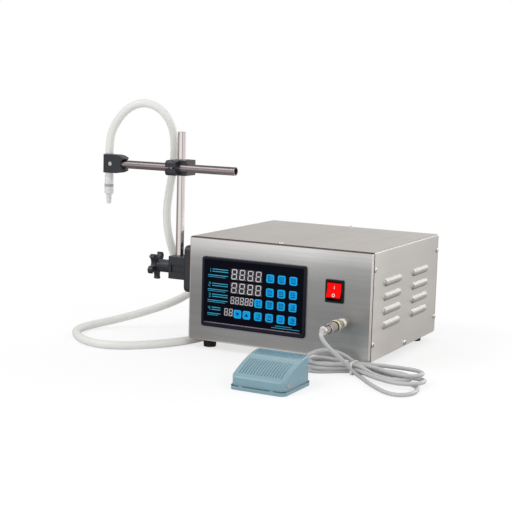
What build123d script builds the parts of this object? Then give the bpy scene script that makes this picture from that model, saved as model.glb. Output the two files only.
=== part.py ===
from build123d import *
import math
import os

# Bench liquid filler: sheet-metal case with a gear pump, a mast that carries the filling nozzle
# on its left side, and a foot pedal on a cord. Millimetres, +Z up, +X to the right seen from the
# front, +Y to the back. The origin is on the floor under the middle of the case.

# Case
CASE_W = 284.0          # outer width
CASE_D = 265.0          # outer depth
CASE_H = 150.0          # height above the feet
FOOT_H = 13.0           # rubber feet
SHEET = 1.2             # sheet thickness
COVER_GAP = 0.3         # between the tray's flanges and the cover
LIP = 3.0               # depth of the end panels' folded edge
LIP_R = 2.2             # bend radius of that edge, outside
SEAM = 0.8              # gap between that edge and the cover
FLANGE = 12.0           # width of the tray's flanges
COVER_R = 2.5           # bend radius of the cover's long edges
CORNER_R = 3.0          # corner radius of the end panels
FRONT = -CASE_D / 2
BACK = CASE_D / 2
RIGHT = CASE_W / 2
LEFT = -CASE_W / 2
BASE = FOOT_H           # underside of the case
TOP = FOOT_H + CASE_H
TRAY_HALF = RIGHT - SHEET - COVER_GAP
TRAY_TOP = TOP - SHEET - COVER_GAP
FLOOR_TOP = BASE + SHEET

# Feet
FOOT_R = 10.0
FOOT_TAPER = 1.0
FOOT_X = RIGHT - 23
FOOT_Y = BACK - 24.5
FOOT_HOLE_R = 2.2

# Cover screws
SCREW_R = 1.5
SCREW_CLEAR = 0.1       # radial, in the sheets
SCREW_HEAD_R = 3.4
SCREW_HEAD_H = 2.0
SCREW_LEN = 8.0
SCREW_IN = 7.0          # from the end panels' outer faces
SCREW_HIGH = 126.0      # above the underside of the case
SCREW_LOW = 23.5
SCREW_MID = 5.0

# Louvres
LOUVRE_LEN = 68.0
LOUVRE_R = 7.0
LOUVRE_OUT = 3.2        # how far they stand out
LOUVRE_T = 1.0
LOUVRE_PITCH = 20.0
LOUVRE_TOP = 103.3      # top row above the underside of the case
LOUVRE_ROWS = 4
LOUVRE_SILL = 3.0       # open edge below each louvre's axis
RIGHT_LOUVRE_Y = (-58.0, 53.0)
LEFT_LOUVRE_Y = (82.0,)

# Control panel
PANEL_W = 164.5
PANEL_H = 101.3
PANEL_X = LEFT + 104.75
PANEL_Z = 85.65
PANEL_R = 4.0
BEZEL_OUT = 3.2         # how far the bezel stands out
BEZEL_SIDE = 4.2
BEZEL_BOTTOM = 6.2
SLEEVE_T = 1.6          # the bezel's sleeve through the front panel
SLEEVE_DEEP = 7.0
SLEEVE_IN = 2.0         # sleeve inside the bezel's outline
PANEL_FIT = 0.2
OVERLAY_T = 1.5
OVERLAY_FACE = 1.7      # face of the overlay in front of the front panel
BOARD_T = 1.6

# Keys
KEY = 12.0
KEY_R = 2.5
KEY_FIT = 0.2
KEY_PROUD = 0.6
KEY_TRAVEL = 0.4
KEY_FLANGE = 0.8        # rim that holds the key behind the overlay
KEY_FLANGE_T = 0.8
KEY_SWITCH_R = 2.5
KEY_COLUMNS = (9.15, 26.95, 44.75, 62.75)     # right of the panel's middle
KEY_ROWS = (113.7, 93.8, 76.4, 57.8)
ARROW_COLUMNS = (-23.35, -8.95)

# Digit windows: middle (right of the panel's), height of the middle, width, height
WINDOWS = (
    (-11.25, 114.3, 51.0, 17.0),
    (-11.25, 94.7, 51.0, 17.0),
    (-17.35, 76.7, 38.0, 12.4),
    (-38.45, 58.6, 15.6, 12.4),
)
WINDOW_FIT = 0.3
WINDOW_DEEP = 0.6       # modules behind the overlay's face

# Rocker switch
ROCKER_X = RIGHT - 54.6
ROCKER_Z = 105.9
ROCKER_W = 27.6
ROCKER_H = 32.0
ROCKER_RIM = 2.0
ROCKER_RIM_R = 2.0
ROCKER_BODY_W = 24.6
ROCKER_BODY_H = 28.0
ROCKER_BODY_D = 20.0
BUTTON_W = 20.6
BUTTON_HALF = 10.3
BUTTON_FIT = 0.4
BUTTON_FACE = 2.6       # waist of the button in front of the front panel
PIVOT_IN = 4.0          # pivot behind the front panel's face
PIVOT_R = 1.5
PIVOT_FIT = 0.05
ROCKER_TILT = 11.0
POCKET_HALF = 13.0
POCKET_D = 12.0

# Cable socket and plug, one axis
SOCKET_X = RIGHT - 42
SOCKET_Z = 63.0
SOCKET_R = 5.6
SOCKET_OUT = 15.0
SOCKET_NUT_R = 8.0
SOCKET_NUT_T = 3.0
SOCKET_HOLE_R = 1.6
RING_R = 9.0
RING_LEN = 13.0
PLUG_R = 7.0
PLUG_LEN = 22.0
COLLAR_R = 6.0
COLLAR_LEN = 14.0
PLUG_END = FRONT - SOCKET_OUT - RING_LEN - PLUG_LEN - COLLAR_LEN
CORD_R = 2.75

# Tubes of mast and arm
TUBE_R = 6.0
TUBE_WALL = 1.2
TUBE_FIT = 0.08         # radial, in clamps
MAST_X = LEFT - 29
MAST_Y = FRONT + 20.5
MAST_TOP = 310.0
MAST_FOOT = 98.0
ARM_Y = MAST_Y - 14
ARM_Z = 259.0
ARM_LEFT = MAST_X - 103
ARM_RIGHT = MAST_X + 97.5

# Mast bracket
BRACKET_T = 12.0
BRACKET_W = 36.0
BRACKET_LOW = 79.0
BRACKET_HIGH = 147.5
BLOCK_LEFT = MAST_X - 11
BLOCK_W = 30.0
BLOCK_LOW = 96.5
BLOCK_HIGH = 129.5
RECESS = (20.0, 11.0, 2.5)
KNOB_Z = 112.0
STUD_R = 4.0
STUD_FIT = 0.08
NECK_R = 9.5
NECK_LEFT = BLOCK_LEFT - 24.5
KNOB_T = 8.0
KNOB_R = 21.0
KNOB_LOBES = 5
LOBE_R = 6.0
KNOB_WASHER_T = 1.2

# Cross clamp
CLAMP_LEFT = MAST_X - 11
CLAMP_RIGHT = MAST_X + 17
CLAMP_H = 22.0
CLAMP_FRONT = ARM_Y - 15
CLAMP_CHANNEL = ARM_Y - 3      # front of the open channel beside the lobes
CLAMP_BACK = MAST_Y + 13.5
LOBE_RIGHT = MAST_X + 6
CLAMP_SLIT = 1.8
CLAMP_SCREW_R = 1.5
CLAMP_HEAD_R = 2.8
LOBE_SCREW = (MAST_X - 2.5, ARM_Y - 10.4)
BACK_SCREW_Y = MAST_Y + 9.8

# Nozzle head
HOSE_X = ARM_LEFT - 13  # axis of the hose through the head
HEAD_LEFT = HOSE_X - 7.4
HEAD_RIGHT = HOSE_X + 30
HEAD_HALF = 13.5
HEAD_HALF_W = 8.2
HEAD_STRAIGHT = HOSE_X + 14    # where the outline starts to draw in
HEAD_TIP_HALF = 8.5
HEAD_BORE_FIT = 0.2
HEAD_SCREW_R = 2.0
HEAD_SCREW_SINK = 3.3
HEAD_SCREW_X = HOSE_X + 6

# Hoses and what hangs under the head
HOSE_R = 6.0
HOSE_BORE_R = 4.0
STUB_LOW = 241.0
CONNECTOR_R = 6.7
CONNECTOR_LOW = 214.0
CONNECTOR_HIGH = 240.9
BARB_R = 3.9
RING_LOW = 224.4
RING_HIGH = 228.4
TIP_R = 4.4
TIP_END_R = 3.2
TIP_LOW = 199.3
TIP_BORE_R = 1.8

# Hose ports and pump
PORT_Z = 88.0
PUMP_Y = FRONT + 110
PORT_SPREAD = 42.0      # of each port from the pump's middle
PORT_FLANGE_R = 10.0
PORT_FLANGE_T = 5.0
PORT_OUT = 24.0
PORT_IN = 20.0
PORT_NUT_T = 4.0
PORT_THREAD_R = 6.0
TUBE_BEND = 11.0        # of the tubes inside the case
PUMP_LEFT = LEFT + 50
PUMP_COVER_T = 8.0
PUMP_BODY_T = 18.0
PUMP_W = 44.0
PUMP_H = 66.0
GEAR_MODULE = 2.0
GEAR_TEETH = 12
GEAR_W = 13.8
GEAR_POCKET = 14.0
GEAR_ANGLE = 25.0
GEAR_BACKLASH = 0.12
GEAR_FIT = 0.15
SHAFT_R = 4.0
SHAFT_FIT = 0.05
MOUNT_T = 4.0
MOTOR_R = 26.0
MOTOR_LEN = 82.0
MESH_Z = PORT_Z
GEAR_R = GEAR_MODULE * GEAR_TEETH / 2
DRIVE_Z = MESH_Z - GEAR_R
DRIVEN_Z = MESH_Z + GEAR_R
OUTLET_Y = PUMP_Y - PORT_SPREAD
INLET_Y = PUMP_Y + PORT_SPREAD

# Power supply and mains inlet
SUPPLY = (90.0, 110.0, 42.0)
SUPPLY_AT = (RIGHT - 64, BACK - 90.5)
SUPPLY_UP = 6.0
INLET_X = RIGHT - 72
INLET_Z = 60.0
INLET_W = 27.4
INLET_H = 20.0
INLET_DEEP = 24.0
INLET_PLATE_W = 50.0
INLET_PLATE_H = 24.0
INLET_PLATE_T = 3.0
INLET_SCREW_X = 20.0

# Foot pedal
PEDAL_X = SOCKET_X - 35
PEDAL_FRONT = FRONT - 183.5
PEDAL_D = 80.0
PEDAL_W = 78.0
PEDAL_R = 8.0
TRAY_H = 5.6
TRAY_WALL = 1.2
TRAY_FLOOR = 1.6
PEDAL_GAP = 0.5
TREADLE_T = 2.0
TREADLE_FRONT_H = 17.5
TREADLE_BACK_H = 39.5
TREADLE_CREST = 42.0    # from the front to where the slope eases
TREADLE_CREST_H = 34.0
TREADLE_ARCH = 1.2      # bulge of each stretch of the slope
TREADLE_SKIRT = 5.3
PIN_IN = 12.5           # hinge pin from the pedal's front
PIN_Z = 12.1
PIN_R = 2.0
PIN_FIT = 0.08
PEDAL_SWING = 2.6
GROOVES = 16
GROOVE_PITCH = 3.9
GROOVE_W = 1.5
GROOVE_DEEP = 0.7
SPRING_R = 5.0
SPRING_WIRE = 0.6
SPRING_TURNS = 5
SPRING_AT = (PEDAL_X - 17, PEDAL_FRONT + 61)
SWITCH_BOX = (20.0, 28.0, 12.0)
SWITCH_AT = (PEDAL_X + 15, PEDAL_FRONT + 54)
PLUNGER_R = 1.8
PLUNGER_H = 1.5
BOSS_R = 3.0
BOSS_CLEAR = 0.3        # left between boss and plunger with the treadle down
SEAT_IN = 1.2           # spring seats inside the coil's middle line
SEAT_LOW = 26.0
SEAT_H = 5.0
EXIT_X = PEDAL_X + 1
EXIT_Z = 12.0
GLAND_R = 4.5

# Cord and its hank
TIE_X = SOCKET_X + 28
TIE_Y = FRONT - 19.5
TIE_W = 3.0
TIE_T = 1.2
WAIST_HALF = 12.0
WAIST_H = 18.0
HANK_H = 11.0
HANK_BEND = 8.0
PEDAL_BACK = PEDAL_FRONT + PEDAL_D


def moved(x, y, z, points):
    """Points given from a corner, placed at that corner."""
    return tuple((x + px, y + py, z + pz) for px, py, pz in points)


# Routes of the hoses and of the cord
OUTLET_ROUTE = ((LEFT - PORT_FLANGE_T, OUTLET_Y, PORT_Z),) + moved(LEFT, FRONT, 0, (
    (-21, 68, 88), (-36, 66, 91.2), (-48.5, 61.5, 100.6), (-56.5, 55.7, 115.5),
    (-61.5, 50, 135), (-66.5, 45.7, 160), (-68.5, 43.9, 190), (-63.5, 44.5, 222),
    (-57.5, 44.3, 252), (-53.7, 42, 281), (-51.5, 36, 307), (-58, 27.7, 330), (-75, 20.5, 347),
    (-98.5, 14.5, 351.5), (-120, 10.2, 341.5), (-136, 7, 322), (-145, 6.5, 298),
)) + ((HOSE_X, ARM_Y, ARM_Z + HEAD_HALF),)
INLET_ROUTE = ((LEFT - PORT_FLANGE_T, INLET_Y, PORT_Z),) + moved(LEFT, FRONT, 0, (
    (-28, 151.5, 87), (-47, 144.5, 78), (-63, 128.5, 62), (-80, 111.5, 46), (-105, 93.5, 33.5),
    (-139, 74.5, 20.5), (-171, 52.5, 10.5), (-190, 23.5, 6.4), (-188, -11.5, 6), (-167, -44.5, 6),
    (-134, -70.5, 6), (-101, -80.5, 6), (-72, -72.5, 6), (-48, -51.5, 6), (-26, -23.5, 6),
    (-10, 10.5, 6), (-1.5, 48.5, 6), (2, 90.5, 6), (0.5, 138.5, 6), (2, 182.5, 6), (0.5, 220.5, 6),
    (1.5, 250.5, 6),
))
LEAD_ROUTE = ((SOCKET_X, PLUG_END, SOCKET_Z), (SOCKET_X, PLUG_END - 7, SOCKET_Z)) + moved(
    SOCKET_X, PLUG_END, 0, ((1.2, -12, 57), (4.5, -10.5, 47.5), (8.5, -0.5, 37.5), (14, 12.5, 29))
) + moved(TIE_X, TIE_Y, 0, ((-9, -19, 22), (-6, -7, 15.5)))
TAIL_ROUTE = moved(TIE_X, TIE_Y, 0, (
    (-7, 4, 15.5), (-14, 1, 26), (-26, -5, 33), (-39, -12, 35), (-51, -22, 30.5),
)) + moved(EXIT_X, PEDAL_BACK, 0, ((4, 41, 21.5), (1, 26, 14), (0, 13, EXIT_Z), (0, 4, EXIT_Z)))

# Outline of the hank from the tie's middle, right part and left part
HANK_RIGHT = (
    (0, WAIST_HALF), (52, 20), (90, 13), (109, -4), (111, -28), (108, -62), (100, -85),
    (78, -88), (48, -60), (0, -WAIST_HALF),
)
HANK_LEFT = (
    (0, -WAIST_HALF), (-34, -26), (-62, -32), (-76, -20), (-77, -2), (-65, 11), (-33, 16),
    (0, WAIST_HALF),
)
CORD_SHARE = 0.45       # of the shorter run, in each bend of a cord


def block(x0, x1, y0, y1, z0, z1):
    """Box between its limits."""
    return Pos((x0 + x1) / 2, (y0 + y1) / 2, (z0 + z1) / 2) * Box(x1 - x0, y1 - y0, z1 - z0)


def rod_x(r, x0, x1, y, z):
    return Pos((x0 + x1) / 2, y, z) * Rot(0, 90, 0) * Cylinder(r, x1 - x0)


def rod_y(r, y0, y1, x, z):
    return Pos(x, (y0 + y1) / 2, z) * Rot(90, 0, 0) * Cylinder(r, y1 - y0)


def rod_z(r, z0, z1, x, y):
    return Pos(x, y, (z0 + z1) / 2) * Cylinder(r, z1 - z0)


def front_plate(w, h, r, x, z, y0, y1):
    """Plate with rounded corners that faces the front, from y0 back to y1."""
    plane = Plane(origin=(x, y1, z), x_dir=(1, 0, 0), z_dir=(0, -1, 0))
    return extrude(plane * RectangleRounded(w, h, r), y1 - y0)


def floor_plate(w, d, r, x, y, z0, z1):
    """Plate with rounded corners that lies flat, from z0 up to z1."""
    return extrude(Pos(x, y, z0) * RectangleRounded(w, d, r), z1 - z0)


def side_profile(points, x0, x1):
    """Solid with an outline drawn in Y and Z, from x0 to x1."""
    outline = make_face(Polyline([(x0, y, z) for y, z in points], close=True))
    return extrude(outline, x1 - x0, dir=(1, 0, 0))


def cord_tube(name, route, r):
    """Tube along straight runs joined by tangent arcs."""
    corners = [Vector(*p) for p in route]
    radii = []
    for a, b, c in zip(corners, corners[1:], corners[2:]):
        turn = math.radians((b - a).get_angle(c - b))
        shorter = min((b - a).length, (c - b).length)
        radii.append(CORD_SHARE * shorter / math.tan(turn / 2))
    path = FilletPolyline(*corners, radius=radii)
    tube = sweep(Plane(origin=path @ 0, z_dir=path % 0) * Circle(r), path)
    print(name, "length", round(path.length, 1), "least radius", round(min(radii), 1),
          "radii", [round(v) for v in radii])
    print(name, "volume over section times length", tube.volume / (math.pi * r * r * path.length))
    return tube


def screw_places():
    """Where the cover screws sit and which way they face. The mast bracket takes one's place."""
    places = [((0, y, TOP), (0, 0, 1)) for y in (FRONT + SCREW_IN, BACK - SCREW_IN)]
    for side in (-1, 1):
        out = (side, 0, 0)
        for y in (FRONT + SCREW_IN, BACK - SCREW_IN):
            for z in (BASE + SCREW_LOW, BASE + SCREW_HIGH):
                if (side, y, z) != (-1, FRONT + SCREW_IN, BASE + SCREW_HIGH):
                    places.append(((side * RIGHT, y, z), out))
        places.append(((side * RIGHT, 0, BASE + SCREW_MID), out))
    return places


def screw_holes(r):
    holes = []
    for place, out in screw_places():
        plane = Plane(origin=place, z_dir=out)
        holes.append(plane.offset(-FLANGE / 2) * Cylinder(r, FLANGE))
    return holes


def pan_screw(place, out):
    """Pan-head screw with a cross recess."""
    head = Cylinder(SCREW_HEAD_R, SCREW_HEAD_H, align=(Align.CENTER, Align.CENTER, Align.MIN))
    head = fillet(head.edges().group_by(Axis.Z)[-1], SCREW_HEAD_H * 0.7)
    slot = Pos(0, 0, SCREW_HEAD_H) * Box(SCREW_HEAD_R, 0.7, SCREW_HEAD_H)
    shank = Pos(0, 0, -SCREW_LEN / 2) * Cylinder(SCREW_R, SCREW_LEN)
    return Plane(origin=place, z_dir=out) * (head - slot - Rot(0, 0, 90) * slot + shank)


def case_fasteners():
    """Cover screws, bracket screws with their nuts, and the knob's washer."""
    screws = [pan_screw(place, out) for place, out in screw_places()]
    return Compound(screws + bracket_screws() + [knob_washer()])


def end_panel(y0, y1):
    """Full-outline end panel with its folded edge rounded on the outside."""
    panel = front_plate(CASE_W, CASE_H, CORNER_R, 0, BASE + CASE_H / 2, y0, y1)
    outer = panel.faces().sort_by(Axis.Y)[0 if y0 == FRONT else -1]
    return fillet(outer.edges(), LIP_R)


def chassis_tray():
    """Front panel, floor and rear panel in one, with flanges under the cover."""
    tray = block(-TRAY_HALF, TRAY_HALF, FRONT + SHEET, BACK - SHEET, BASE, TRAY_TOP)
    tray = fillet(tray.edges().filter_by(Axis.Y).group_by(Axis.Z)[-1], COVER_R - SHEET)
    tray += end_panel(FRONT, FRONT + LIP) + end_panel(BACK - LIP, BACK)
    tray -= block(SHEET - TRAY_HALF, TRAY_HALF - SHEET, FRONT + SHEET, BACK - SHEET, FLOOR_TOP,
                  TRAY_TOP - SHEET)
    tray -= block(LEFT, RIGHT, FRONT + LIP + FLANGE, BACK - LIP - FLANGE, BASE + FLANGE, TOP)
    tray -= front_plate(PANEL_W - 2 * (SLEEVE_IN - PANEL_FIT), PANEL_H - 2 * (SLEEVE_IN - PANEL_FIT),
                        PANEL_R, PANEL_X, PANEL_Z, FRONT - 1, FRONT + LIP)
    tray -= front_plate(ROCKER_BODY_W + 2 * PANEL_FIT, ROCKER_BODY_H + 2 * PANEL_FIT, 1, ROCKER_X,
                        ROCKER_Z, FRONT - 1, FRONT + LIP)
    tray -= rod_y(SOCKET_R + PANEL_FIT, FRONT - 1, FRONT + LIP, SOCKET_X, SOCKET_Z)
    tray -= front_plate(INLET_W + 2 * PANEL_FIT, INLET_H + 2 * PANEL_FIT, 1, INLET_X, INLET_Z,
                        BACK - LIP, BACK + 1)
    for side in (-1, 1):
        tray -= rod_y(SCREW_R + SCREW_CLEAR, BACK - LIP, BACK + 1, INLET_X + side * INLET_SCREW_X,
                      INLET_Z)
    for x, y in foot_places():
        tray -= rod_z(FOOT_HOLE_R + PANEL_FIT, BASE - 1, FLOOR_TOP + 1, x, y)
    for hole in screw_holes(SCREW_R + SCREW_CLEAR):
        tray -= hole
    return tray


def capsule(r, x, y, z):
    """Bar along Y with round ends."""
    half = LOUVRE_LEN / 2 - LOUVRE_R
    bar = rod_y(r, y - half, y + half, x, z)
    return bar + Pos(x, y - half, z) * Sphere(r) + Pos(x, y + half, z) * Sphere(r)


def louvre(side, y, z):
    """The hood to add and the opening to cut, for one louvre."""
    axis = side * (RIGHT + LOUVRE_OUT - LOUVRE_R)
    inner = capsule(LOUVRE_R - LOUVRE_T, axis, y, z)
    hood = capsule(LOUVRE_R, axis, y, z) - inner
    outside = Pos(side * (RIGHT + LOUVRE_R - SHEET / 2), y, z - LOUVRE_SILL + LOUVRE_R)
    hood &= outside * Box(2 * LOUVRE_R, LOUVRE_LEN + 2, 2 * LOUVRE_R)
    return hood, inner


def top_cover():
    """Top and both sides in one sheet, with hooded louvres pressed out of the sides."""
    y0, y1 = FRONT + LIP + SEAM, BACK - LIP - SEAM
    cover = block(LEFT, RIGHT, y0, y1, BASE, TOP)
    cover = fillet(cover.edges().filter_by(Axis.Y).group_by(Axis.Z)[-1], COVER_R)
    room = block(LEFT + SHEET, RIGHT - SHEET, y0 - 1, y1 + 1, BASE - 1, TOP - SHEET)
    cover -= fillet(room.edges().filter_by(Axis.Y).group_by(Axis.Z)[-1], COVER_R - SHEET)
    for side, columns in ((1, RIGHT_LOUVRE_Y), (-1, LEFT_LOUVRE_Y)):
        for y in columns:
            for row in range(LOUVRE_ROWS):
                hood, inner = louvre(side, y, BASE + LOUVRE_TOP - row * LOUVRE_PITCH)
                cover = cover - inner + hood
    for hole in screw_holes(SCREW_R + SCREW_CLEAR):
        cover -= hole
    for y in (OUTLET_Y, INLET_Y):
        cover -= rod_x(PORT_THREAD_R + PANEL_FIT, LEFT - 1, LEFT + 5, y, PORT_Z)
    for z in bracket_screw_heights():
        cover -= rod_x(SCREW_R + SCREW_CLEAR, LEFT - 1, LEFT + 5, MAST_Y, z)
    return cover


def foot_places():
    return [(x, y) for x in (-FOOT_X, FOOT_X) for y in (-FOOT_Y, FOOT_Y)]


def case_feet():
    """Round rubber feet, each with a stud through the floor."""
    feet = []
    for x, y in foot_places():
        foot = Pos(x, y, FOOT_H / 2) * Cone(FOOT_R - FOOT_TAPER, FOOT_R, FOOT_H)
        foot -= rod_z(FOOT_R / 2, -1, FOOT_H / 3, x, y)
        feet.append(foot + rod_z(FOOT_HOLE_R, FOOT_H, FLOOR_TOP + 2, x, y))
    return Compound(feet)


def bezel_opening():
    """Size and centre of the bezel's opening: w, h, x, z."""
    w = PANEL_W - 2 * BEZEL_SIDE
    h = PANEL_H - BEZEL_SIDE - BEZEL_BOTTOM
    return w, h, PANEL_X, PANEL_Z + (BEZEL_BOTTOM - BEZEL_SIDE) / 2


def panel_bezel():
    """Frame round the control panel, with a sleeve through the front panel."""
    w, h, x, z = bezel_opening()
    frame = front_plate(PANEL_W, PANEL_H, PANEL_R, PANEL_X, PANEL_Z, FRONT - BEZEL_OUT, FRONT)
    frame = fillet(frame.faces().sort_by(Axis.Y)[0].edges(), 1.2)
    frame += front_plate(PANEL_W - 2 * SLEEVE_IN, PANEL_H - 2 * SLEEVE_IN, PANEL_R, PANEL_X,
                         PANEL_Z, FRONT, FRONT + SLEEVE_DEEP)
    frame -= front_plate(w, h, 2, x, z, FRONT - BEZEL_OUT - 1, FRONT)
    frame -= front_plate(PANEL_W - 2 * (SLEEVE_IN + SLEEVE_T), PANEL_H - 2 * (SLEEVE_IN + SLEEVE_T),
                         1, PANEL_X, PANEL_Z, FRONT, FRONT + SLEEVE_DEEP + 1)
    rim = frame.faces().filter_by(Axis.Y).sort_by(Axis.Y)[0]
    inner = min(rim.wires(), key=lambda wire: wire.length)
    return chamfer(inner.edges(), 1.0)


def key_places():
    """Centres of the keys, row by row from the top left."""
    places = [(x, z) for z in KEY_ROWS[:2] for x in KEY_COLUMNS[1:]]
    places += [(x, KEY_ROWS[2]) for x in KEY_COLUMNS]
    places += [(x, KEY_ROWS[3]) for x in ARROW_COLUMNS + KEY_COLUMNS]
    return [(PANEL_X + x, z) for x, z in places]


def windows():
    return [(PANEL_X + x, z, w, h) for x, z, w, h in WINDOWS]


def panel_overlay():
    """Glossy plate with openings for the keys and the digits."""
    w, h, x, z = bezel_opening()
    face, rear = FRONT - OVERLAY_FACE, FRONT - OVERLAY_FACE + OVERLAY_T
    plate = front_plate(w - 0.2, h - 0.2, 1.9, x, z, face, rear)
    for kx, kz in key_places():
        plate -= front_plate(KEY + 2 * KEY_FIT, KEY + 2 * KEY_FIT, KEY_R, kx, kz, face - 1, rear + 1)
    for wx, wz, ww, wh in windows():
        plate -= front_plate(ww, wh, 0.8, wx, wz, face - 1, rear + 1)
    return plate


def display_board():
    """Circuit board on the sleeve's rim, with digit modules and key switches."""
    front = FRONT + SLEEVE_DEEP
    board = front_plate(PANEL_W - 2 * SLEEVE_IN, PANEL_H - 2 * SLEEVE_IN, 2, PANEL_X, PANEL_Z,
                        front, front + BOARD_T)
    for x, z, w, h in windows():
        board += block(x - w / 2 + WINDOW_FIT, x + w / 2 - WINDOW_FIT,
                       FRONT - OVERLAY_FACE + WINDOW_DEEP, front, z - h / 2 + WINDOW_FIT,
                       z + h / 2 - WINDOW_FIT)
    for x, z in key_places():
        board += rod_y(KEY_SWITCH_R, key_rear() + KEY_TRAVEL + 0.1, front, x, z)
    return board


def key_rear():
    """Back face of a key at rest."""
    return FRONT - OVERLAY_FACE + OVERLAY_T + 0.05 + KEY_FLANGE_T


def key(x, z):
    """Key cap with a rim behind the overlay."""
    rear = key_rear()
    cap = front_plate(KEY, KEY, KEY_R, x, z, FRONT - OVERLAY_FACE - KEY_PROUD, rear)
    cap = chamfer(cap.faces().sort_by(Axis.Y)[0].edges(), 0.35)
    rim = KEY + 2 * KEY_FLANGE
    return cap + front_plate(rim, rim, KEY_R, x, z, rear - KEY_FLANGE_T, rear)


def rocker_housing():
    """Switch housing: rim on the front panel, body behind, pocket and pivot holes."""
    housing = front_plate(ROCKER_W, ROCKER_H, ROCKER_RIM_R, ROCKER_X, ROCKER_Z,
                          FRONT - ROCKER_RIM, FRONT)
    housing = fillet(housing.faces().sort_by(Axis.Y)[0].edges(), 0.8)
    housing += front_plate(ROCKER_BODY_W, ROCKER_BODY_H, 0.8, ROCKER_X, ROCKER_Z, FRONT,
                           FRONT + ROCKER_BODY_D)
    half = BUTTON_W / 2 + BUTTON_FIT
    housing -= block(ROCKER_X - half, ROCKER_X + half, FRONT - ROCKER_RIM - 1, FRONT + POCKET_D,
                     ROCKER_Z - POCKET_HALF, ROCKER_Z + POCKET_HALF)
    pin = BUTTON_W / 2 + 1.4
    housing -= rod_x(PIVOT_R + PIVOT_FIT, ROCKER_X - pin, ROCKER_X + pin, FRONT + PIVOT_IN, ROCKER_Z)
    for x in (-6, 6):
        for z in (-7, 7):
            housing += block(ROCKER_X + x - 0.4, ROCKER_X + x + 0.4, FRONT + ROCKER_BODY_D,
                             FRONT + ROCKER_BODY_D + 8, ROCKER_Z + z - 3, ROCKER_Z + z + 3)
    return housing


def rocker_button():
    """Rocker with two facets that meet in a shallow valley, tipped to its on side."""
    face = -BUTTON_FACE - PIVOT_IN
    rise = BUTTON_HALF * math.tan(math.radians(ROCKER_TILT))
    points = [(face, 0), (face - rise, BUTTON_HALF), (-2, BUTTON_HALF - 0.6), (4, 6), (4, -6),
              (-2, 0.6 - BUTTON_HALF), (face - rise, -BUTTON_HALF)]
    body = side_profile(points, -BUTTON_W / 2, BUTTON_W / 2)
    tips = body.edges().filter_by(Axis.X).group_by(Axis.Y)[0]
    body = fillet(tips, 0.8)
    body += rod_x(PIVOT_R, -BUTTON_W / 2 - 1.3, BUTTON_W / 2 + 1.3, 0, 0)
    return Pos(ROCKER_X, FRONT + PIVOT_IN, ROCKER_Z) * Rot(-ROCKER_TILT, 0, 0) * body


def cable_socket():
    """Threaded socket through the front panel, with its nut behind."""
    x, z = SOCKET_X, SOCKET_Z
    socket = rod_y(SOCKET_R, FRONT - SOCKET_OUT, FRONT + 12, x, z)
    socket += rod_y(SOCKET_R + 1.6, FRONT - 1.6, FRONT, x, z)
    nut = Plane(origin=(x, FRONT + SHEET, z), x_dir=(1, 0, 0), z_dir=(0, 1, 0))
    socket += extrude(nut * RegularPolygon(SOCKET_NUT_R, 6), SOCKET_NUT_T)
    socket -= rod_x(SOCKET_HOLE_R, x - SOCKET_R - 1, x + SOCKET_R + 1, FRONT - SOCKET_OUT / 2, z)
    return socket


def cable_plug():
    """Plug: stepped ring nut, body with a set screw, clamp collar."""
    x, z = SOCKET_X, SOCKET_Z
    y = FRONT - SOCKET_OUT
    ring = Plane(origin=(x, y - RING_LEN * 0.7, z), x_dir=(1, 0, 0), z_dir=(0, 1, 0))
    plug = extrude(ring * RegularPolygon(RING_R, 8), RING_LEN * 0.4)
    plug += rod_y(RING_R * 0.86, y - RING_LEN, y, x, z)
    y -= RING_LEN
    body = rod_y(PLUG_R, y - PLUG_LEN, y, x, z)
    plug += fillet(body.edges().group_by(Axis.Y)[0], 1.5)
    plug -= rod_x(1.6, x - PLUG_R - 1, x - PLUG_R + 1.2, y - PLUG_LEN / 2, z)
    y -= PLUG_LEN
    collar = rod_y(COLLAR_R, y - COLLAR_LEN, y, x, z)
    plug += chamfer(collar.edges().group_by(Axis.Y)[0], 1.0)
    plug -= rod_z(1.3, z + COLLAR_R - 1.2, z + COLLAR_R + 1, x, y - COLLAR_LEN / 2)
    return plug


def bracket_screw_heights():
    return BRACKET_LOW + 8.5, BRACKET_HIGH - 8.5


def mast_bracket():
    """Flange on the case's left side with a clamp block for the mast."""
    middle = (BRACKET_LOW + BRACKET_HIGH) / 2
    side = Plane(origin=(LEFT, MAST_Y, middle), x_dir=(0, 1, 0), z_dir=(-1, 0, 0))
    high = BRACKET_HIGH - BRACKET_LOW
    flange = extrude(side * RectangleRounded(BRACKET_W, high, 8), BRACKET_T)
    flange = fillet(flange.faces().sort_by(Axis.X)[0].edges(), 3.5)
    body = block(BLOCK_LEFT, LEFT - 2, MAST_Y - BLOCK_W / 2, MAST_Y + BLOCK_W / 2, BLOCK_LOW,
                 BLOCK_HIGH)
    body = fillet(body.edges().filter_by(Axis.Z).group_by(Axis.X)[0], 3)
    body = fillet(body.edges().group_by(Axis.Z)[-1], 1)
    bracket = flange + body
    bracket -= rod_z(TUBE_R + TUBE_FIT, BLOCK_LOW - 1, BLOCK_HIGH + 1, MAST_X, MAST_Y)
    bracket -= rod_x(STUD_R + STUD_FIT, BLOCK_LEFT - 1, MAST_X, MAST_Y, KNOB_Z)
    width, tall, deep = RECESS
    left = BLOCK_LEFT + 5
    front = MAST_Y - BLOCK_W / 2
    bracket -= block(left, left + width, front - 1, front + deep, KNOB_Z - tall / 2,
                     KNOB_Z + tall / 2)
    for z in bracket_screw_heights():
        bracket -= rod_x(SCREW_R + SCREW_CLEAR, LEFT - BRACKET_T - 1, LEFT + 1, MAST_Y, z)
        bracket -= rod_x(SCREW_HEAD_R + 0.3, LEFT - BRACKET_T - 1, LEFT - BRACKET_T + 3, MAST_Y, z)
    return bracket


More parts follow.
